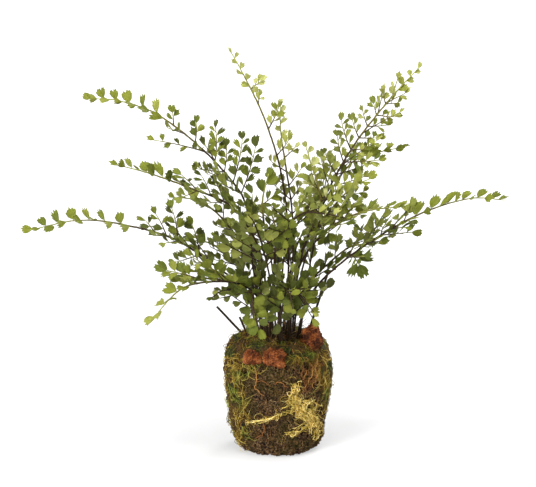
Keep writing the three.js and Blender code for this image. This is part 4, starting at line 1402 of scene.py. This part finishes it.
# %% [markdown]
# The cushion is a lumpy copy of the solid sheet, and rests on the floor where the sheet does. The threads
# are thousands of thin tubes that tangle over it. They come in three pieces, so that none grows too heavy,
# and each piece has longer and straighter threads that hang down more. Some thicker loose ones stand well
# off the ball.

# %% Cushion and threads
# the cushion's brightest tone: it is kept dark as painted shade under the threads, and its hollows darker
# still
CUSHION_SHADE_TONE = 0.3
THREADS = 5200
THREAD_PIECES = 3
LOOSE_THREADS = 2000

cushion = crumbly_copy("moss_green", "moss_green_cushion", voxel=0.9, lump=11, lump_reach=7, crumb=2.4,
                       crumb_reach=2.4, brightest=CUSHION_SHADE_TONE)
rest_on_floor(cushion)
finish_piece(cushion, green_moss, "moss", "moss_green")
for i in range(THREAD_PIECES):
    starts = points_on("moss_green", THREADS, seed=41 + i)
    group = creepers(starts, seed=51 + i, steps=7, stride=(1.1, 2.4 + i), bend=0.45 - 0.13 * i,
                     radius=(0.17, 0.36), rise=(0.6, 5.0), tone=(0.1, 1.0), down=0.5 * i)
    threads = strand_piece(f"moss_green_threads_{i + 1}", [group])
    rest_on_floor(threads)
    finish_piece(threads, green_moss, "moss", "moss_green")
starts = points_on("moss_green", LOOSE_THREADS, seed=45)
loose = creepers(starts, seed=55, steps=7, stride=(1.2, 3.4), bend=0.34, radius=(0.24, 0.42), rise=(4.0, 9.0),
                 tone=(0.3, 1.0), down=0.6)
loose = strand_piece("moss_green_loose_threads", [loose])
rest_on_floor(loose)
finish_piece(loose, green_moss, "moss", "moss_green")

# %% [markdown]
# ## Pale moss
#
# A pale yellow moss hangs on the front as a loose net, with the peat showing through its holes. It grows in
# arms: a tongue up, a broad arm down to the right, thin ones to the right and below it, and a long tail to
# the left. Random points along the arms are joined to their neighbours, and a share of the links become
# thin bowed threads.

# %% The arms of the pale moss
PALE_ARMS = (  # x and z of the middle line on the front in millimetres, half the width, and points
    ([(16.5, 79), (15.5, 69), (13.5, 58), (19, 51)], 5, 110),
    ([(14, 57), (21.5, 51), (29.5, 43), (36.5, 31), (41, 17)], 8.5, 240),
    ([(18, 60), (30, 57), (42, 51)], 3.5, 40),
    ([(34, 34), (26, 31), (17, 28), (8, 27)], 5, 44),
    ([(20, 51), (2.5, 48), (-6.5, 43.5), (-18.5, 40), (-35, 35)], 2.6, 48),
)
ARM_SPREAD = 0.55  # of its points, against half its width
ARM_TAPER = 0.35
FRONT_EDGE = BALL_RADIUS - 3  # the furthest right that a thread lies
STRAND_SIDES = 4


def along_arm(line, t):
    part = t * (len(line) - 1)
    i = min(int(part), len(line) - 2)
    (x0, z0), (x1, z1) = line[i], line[i + 1]
    return lerp(x0, x1, part - i), lerp(z0, z1, part - i)


def arm_point(line, half_width, t, chance):
    x, z = along_arm(line, t)
    spread = half_width * (1 - ARM_TAPER * t)
    x += chance.gauss(0, ARM_SPREAD) * spread
    z += chance.gauss(0, ARM_SPREAD) * spread
    return on_front(min(x, FRONT_EDGE), z)


def strands(courses, chance, tone):
    """A group for strand_piece of strands that lie on the ball."""
    over = [(Vector(course[0][:3]) - BALL_MIDDLE).normalized() for course in courses]
    tones = [[chance.uniform(*tone)] * len(courses[0]) for _ in courses]
    return np.array(courses), STRAND_SIDES, np.array(over), np.array(tones)


print("points of the net:", sum(count for _, _, count in PALE_ARMS))

# %% [markdown]
# The points are unrolled flat, and a triangulation finds which of them are neighbours. Each link that is
# kept bows to the side and off the ball.

# %% The net
LONGEST_LINK = 7
NET_BOW = 0.7
NET_LIE = 0.6  # how far the ends of a link lie off the peat, in millimetres
NET_END_RISE = 0.5  # of a link's rise, at its ends
NET_POINTS = 5
NET_MERGE = 1e-4  # points nearer than this are one, in millimetres


def net(arms, chance, kept, radius, rise):
    """A group of links. kept is the share of them that become threads."""
    points = [arm_point(line, half_width, chance.random(), chance)
              for line, half_width, count in arms for _ in range(count)]
    flat = [Vector((math.atan2(point.y, point.x) * BALL_RADIUS, point.z)) for point in points]
    _, edges, *_ = delaunay_2d_cdt(flat, [], [], 0, NET_MERGE)  # 0 gives the whole triangulation
    courses = []
    for a, b in edges:
        if (flat[a] - flat[b]).length > LONGEST_LINK or chance.random() > kept:
            continue
        bow = Vector([chance.gauss(0, NET_BOW) for _ in range(3)])
        high = chance.uniform(*rise)
        course = []
        for i in range(NET_POINTS):
            t = i / (NET_POINTS - 1)
            arch = math.sin(math.pi * t)
            point, normal = on_peat(points[a].lerp(points[b], t) + bow * arch)
            lift = NET_LIE + high * (NET_END_RISE + (1 - NET_END_RISE) * arch)
            course.append([*(point + normal * lift), chance.uniform(*radius)])
        courses.append(course)
    return strands(courses, chance, tone=(0.1, 1))


# %% [markdown]
# A few long threads follow each arm. Both of their ends lie off its middle line, and they waver a little on
# the way. Short curls creep off the arms as well, one for every three points.

# %% Long threads and the whole piece
LONG_THREADS = 0.16  # for each point of the arm
LONG_STARTS = (-0.02, 0.7)  # as shares of the arm
LONG_ENDS = (0.3, 1.02)
LONG_SPREAD = 0.6  # of its ends, against half the arm's width
LONG_RISE = (0.8, 3)
LONG_END_RISE = 0.4  # of a thread's rise, at its ends
LONG_RADII = (0.18, 0.34)
LONG_POINTS = 14
WAVER = 0.25  # at each of its points, in millimetres
ARM_END = 0.999  # the share of an arm where the threads end
CURLS = 3  # one for this many points
PALE_TONES = ((0.0, "#4a3812"), (0.35, "#987830"), (0.75, "#d8ba58"), (1.0, "#fae69a"))
PALE_PATCH_TONES = ((0.0, "#3c3a10"), (0.5, "#86802c"), (1.0, "#cfc86a"))


def long_thread(line, half_width, chance):
    start, stop = sorted((chance.uniform(*LONG_STARTS), chance.uniform(*LONG_ENDS)))
    off = [chance.gauss(0, LONG_SPREAD * half_width) for _ in range(4)]
    high = chance.uniform(*LONG_RISE)
    course = []
    for i in range(LONG_POINTS):
        t = i / (LONG_POINTS - 1)
        x, z = along_arm(line, min(max(lerp(start, stop, t), 0), ARM_END))
        x += lerp(off[0], off[1], t) + chance.gauss(0, WAVER)
        z += lerp(off[2], off[3], t) + chance.gauss(0, WAVER)
        point, normal = on_peat(on_front(min(x, FRONT_EDGE), z))
        lifted = point + normal * high * (LONG_END_RISE + (1 - LONG_END_RISE) * math.sin(math.pi * t))
        course.append([*lifted, chance.uniform(*LONG_RADII)])
    return course


pale_moss = moss_material("dry_pale_moss", PALE_TONES, PALE_PATCH_TONES, 0.4)
chance = random.Random(61)
groups = [net(PALE_ARMS, chance, kept=0.36, radius=(0.17, 0.3), rise=(0.2, 3)),
          net(PALE_ARMS, chance, kept=0.16, radius=(0.16, 0.28), rise=(1.6, 4))]
threads = [long_thread(line, half_width, chance)
           for line, half_width, count in PALE_ARMS for _ in range(math.ceil(count * LONG_THREADS))]
groups.append(strands(threads, chance, tone=(0.4, 1)))
curls = [arm_point(line, half_width, chance.random(), chance)
         for line, half_width, count in PALE_ARMS for _ in range(count // CURLS)]
groups.append(creepers(curls, seed=62, steps=8, stride=(1, 2.4), bend=0.3, radius=(0.14, 0.26), rise=(1, 4.5),
                       tone=(0.2, 1)))
finish_piece(strand_piece("moss_pale_net", groups), pale_moss, "pale_moss", "moss_pale")

# %% [markdown]
# ## Bark chunks
#
# Three crumbly chunks of red-brown bark sit on the rim. They are made like the peat, with finer crumbs. The
# one on the right has the deepest crumbs and the most patches of painted shade.

# %% Bark
# by the depth tone: painted shade in the hollows and a painted highlight on the crumbs and edges
BARK_SHADE_AND_HIGHLIGHT_TONES = ((0.0, "#120602"), (0.3, "#451c07"), (0.65, "#70360e"), (1.0, "#a8663a"))
BARK_FLECKS = ((0.4, "#2c1105"), (0.52, "#68300c"), (0.64, "#b4743e"))
BARK_SHADE_EDGES = ((0.44, "#ffffff"), (0.56, "#000000"))  # painted shade where the noise is low


def bark_material(name, shade_share):
    """Rotted conifer bark: crumbly and rust coloured, with a painted highlight on its broken edges, painted
    shade in its hollows and patches of painted shade.
    """
    bark = new_material(name)
    colour = specked(bark, toned(bark, BARK_SHADE_AND_HIGHLIGHT_TONES), BARK_FLECKS, share=0.35, size=1.6, detail=4,
                     roughness=0.8)
    # dark patches of painted shade, strongest on the right chunk
    colour = patched(bark, colour, linear("#140703"), share=shade_share, size=7, detail=2, edges=BARK_SHADE_EDGES)
    normal = rough(bark, size=0.9, depth=0.6, strength=1.0, detail=4, roughness=0.8)
    shader = add(bark, "BsdfPrincipled", {"Base Color": colour, "Roughness": 0.7, "IOR": 1.45,
                                          "Specular IOR Level": 0.15, "Normal": normal})
    return finish_material(bark, shader)


rotted_bark = bark_material("rotted_bark", 0.3)
shaded_bark = bark_material("shaded_bark", 0.8)
BARK = (  # the chunk, the depth of its crumbs in millimetres, and its material
    ("chunk_left", 1.2, rotted_bark),
    ("chunk_middle", 1.7, rotted_bark),
    ("chunk_right", 2.2, shaded_bark),
)
for name, depth, material in BARK:
    chunk = crumbly_copy(name, name + "_bark", voxel=0.45, lump=7, lump_reach=7, crumb=1.3, crumb_reach=depth)
    finish_piece(chunk, material, "bark", name)

# %% [markdown]
# ## Roots
#
# A few orange-brown roots stand clear of the peat in loops. Each is one smooth course through points on the
# front of the ball, lifted off it in the middle.

# %% Roots
ROOTS = (  # x and z on the front in millimetres, and the lift of the middle
    ([(-24, 95), (-20.5, 84), (-22, 74), (-13.5, 65)], 4),
    ([(-21, 80), (-13.5, 81), (-8, 76)], 3),
    ([(-4, 78), (0.5, 81), (9.5, 75.5)], 3),
    ([(31, 105), (38, 100), (33.5, 94), (33, 87)], 4),
    ([(22.5, 89), (25, 78), (27, 69)], 2),
    ([(17, 118), (14, 110), (16, 101)], 4),
    ([(-17, 41), (-14, 35), (-15, 28), (-24, 18)], 3),
    ([(-38, 44), (-36, 30), (-30, 20)], 2.5),
    ([(20, 103), (24, 96), (22, 86), (27, 80)], 3),
)
ROOT_RADIUS = 0.42
ROOT_TAPER = 0.4
ROOT_STEP = 2
ROOT_LIE = 0.4  # how far the ends of a root lie off the peat, in millimetres
ROOT_WAVER = (0.85, 1.15)  # of its lift
ROOT_TONES = ((0.0, "#4a260c"), (0.5, "#8a5420"), (1.0, "#c8924a"))


def root_course(line, lift, chance):
    course = Course([on_front(x, z) for x, z in line])
    count = math.ceil(course.length / ROOT_STEP)
    points = []
    for i in range(count + 1):
        t = i / count
        point, normal = on_peat(course.at(t))
        raised = point + normal * (ROOT_LIE + lift * math.sin(math.pi * t) * chance.uniform(*ROOT_WAVER))
        points.append([*raised, ROOT_RADIUS * (1 - ROOT_TAPER * t)])
    return points


def root_material():
    """Living roots: firm, smooth and orange brown, with a soft shine."""
    root = new_material("living_root")
    shader = add(root, "BsdfPrincipled", {"Base Color": toned(root, ROOT_TONES), "Roughness": 0.6,
                                          "IOR": 1.45, "Specular IOR Level": 0.3})
    return finish_material(root, shader)


living_root = root_material()
chance = random.Random(71)
groups = [strands([root_course(line, lift, chance)], chance, tone=(0.1, 1)) for line, lift in ROOTS]
finish_piece(strand_piece("root_ball_roots", groups), living_root, "peat", "root_ball")

# %% [markdown]
# Below the right chunk hangs a beard of fine roots. They creep like the moss, but longer, and mostly
# downwards.

# %% Fine roots
ROOTLETS = 96
ROOTLETS_X = (36, 7)  # the middle of their starts on the front and how far they spread, in millimetres
ROOTLETS_Z = (96, 12)

starts = [on_front(chance.gauss(*ROOTLETS_X), chance.gauss(*ROOTLETS_Z)) for _ in range(ROOTLETS)]
rootlets = creepers(starts, seed=72, steps=9, stride=(1.2, 3.0), bend=0.4, radius=(0.18, 0.36),
                    rise=(1.0, 6.0), tone=(0.0, 1.0), down=0.7)
rootlets = strand_piece("root_ball_rootlets", [rootlets])
finish_piece(rootlets, living_root, "peat", "root_ball")

# %% [markdown]
# ## Studio
#
# The plant stands on white paper with a painted glow, weaker near the plant, in front of a tall ring of the
# same paper far away, so that both look plain and pale. A wide softbox overhead and one at the front left
# light the leaves, two low ones open the shadows on the ball, and one behind shines through the leaflets.

# %% Paper
FLOOR_WIDTH = 60
RING_RADIUS = 20
RING_HEIGHT = 5
RING_SIDES = 64


def paper_material():
    """White paper with a painted glow: it glows softly, and more strongly away from the plant."""
    paper = new_material("painted_glow_paper")
    here = add(paper, "TexCoord", output="Object")
    distance = add(paper, "VectorMath", {0: here}, "Value", operation="LENGTH")
    # painted glow: the paper emits light, weaker near the plant and stronger away from it
    glow = add(paper, "MapRange", {"Value": distance, "From Min": 0.3, "From Max": 1.4, "To Min": 0.5,
                                   "To Max": 0.95})
    shader = add(paper, "BsdfPrincipled", {"Base Color": linear("#878787"), "Roughness": 0.8,
                                           "Emission Color": linear("#ffffff"), "Emission Strength": glow})
    return finish_material(paper, shader)


painted_glow_paper = paper_material()
bpy.ops.mesh.primitive_plane_add(size=FLOOR_WIDTH)
floor = bpy.context.object
floor.name = "floor"
floor.data.materials.append(painted_glow_paper)
bpy.ops.mesh.primitive_cylinder_add(radius=RING_RADIUS, depth=RING_HEIGHT, vertices=RING_SIDES,
                                    end_fill_type="NOTHING", location=(0, 0, RING_HEIGHT / 2))
backdrop = bpy.context.object
backdrop.name = "backdrop"
backdrop.data.materials.append(painted_glow_paper)
print("paper floor:", FLOOR_WIDTH, "m wide")

# %% [markdown]
# Each softbox is a square area light that looks at the middle of the plant. A trace of light from all
# around keeps the darkest places open.

# %% Lights
AIM = Vector((-10.5, 0, 211)) * MM
SOFTBOXES = (  # name, place and width in metres, power in watts
    ("overhead", (0.1, -0.5, 2.2), 0.9, 88),
    ("front_left", (-1.3, -2.0, 1.3), 0.6, 70),
    ("behind_right", (1.1, 1.7, 1.5), 0.9, 56),
    ("low_right", (1.9, -1.3, 0.6), 0.8, 26),
    ("low_left", (-2.1, -0.9, 0.7), 0.8, 30),
)
SURROUNDINGS = 0.13

for name, location, width, power in SOFTBOXES:
    bpy.ops.object.light_add(type="AREA", location=location)
    light = bpy.context.object
    light.name = name
    light.data.size = width
    light.data.energy = power
    light.rotation_euler = (AIM - Vector(location)).to_track_quat("-Z", "Y").to_euler()
scene = bpy.context.scene
scene.world = bpy.data.worlds.new("studio")
scene.world.use_nodes = True
background = scene.world.node_tree.nodes["Background"]
background.inputs["Color"].default_value = linear("#ffffff")
background.inputs["Strength"].default_value = SURROUNDINGS
scene.view_settings.view_transform = "Standard"
print("softboxes:", len(SOFTBOXES))

# %% [markdown]
# The camera stands far off and looks slightly down, with a long lens, as the photograph was taken. The
# frame is as wide at the plant as the photograph is, at a millimetre for each of its pixels.

# %% Camera
CAMERA_DISTANCE = 5
CAMERA_RISE = math.radians(15)
SENSOR = 36
FRAME_WIDTH = 0.536

offset = Vector((0, -math.cos(CAMERA_RISE), math.sin(CAMERA_RISE))) * CAMERA_DISTANCE
bpy.ops.object.camera_add(location=AIM + offset, rotation=(math.pi / 2 - CAMERA_RISE, 0, 0))
camera = bpy.context.object
camera.data.sensor_width = SENSOR
camera.data.lens = SENSOR * CAMERA_DISTANCE / FRAME_WIDTH
scene.camera = camera
print("lens:", round(camera.data.lens), "mm")
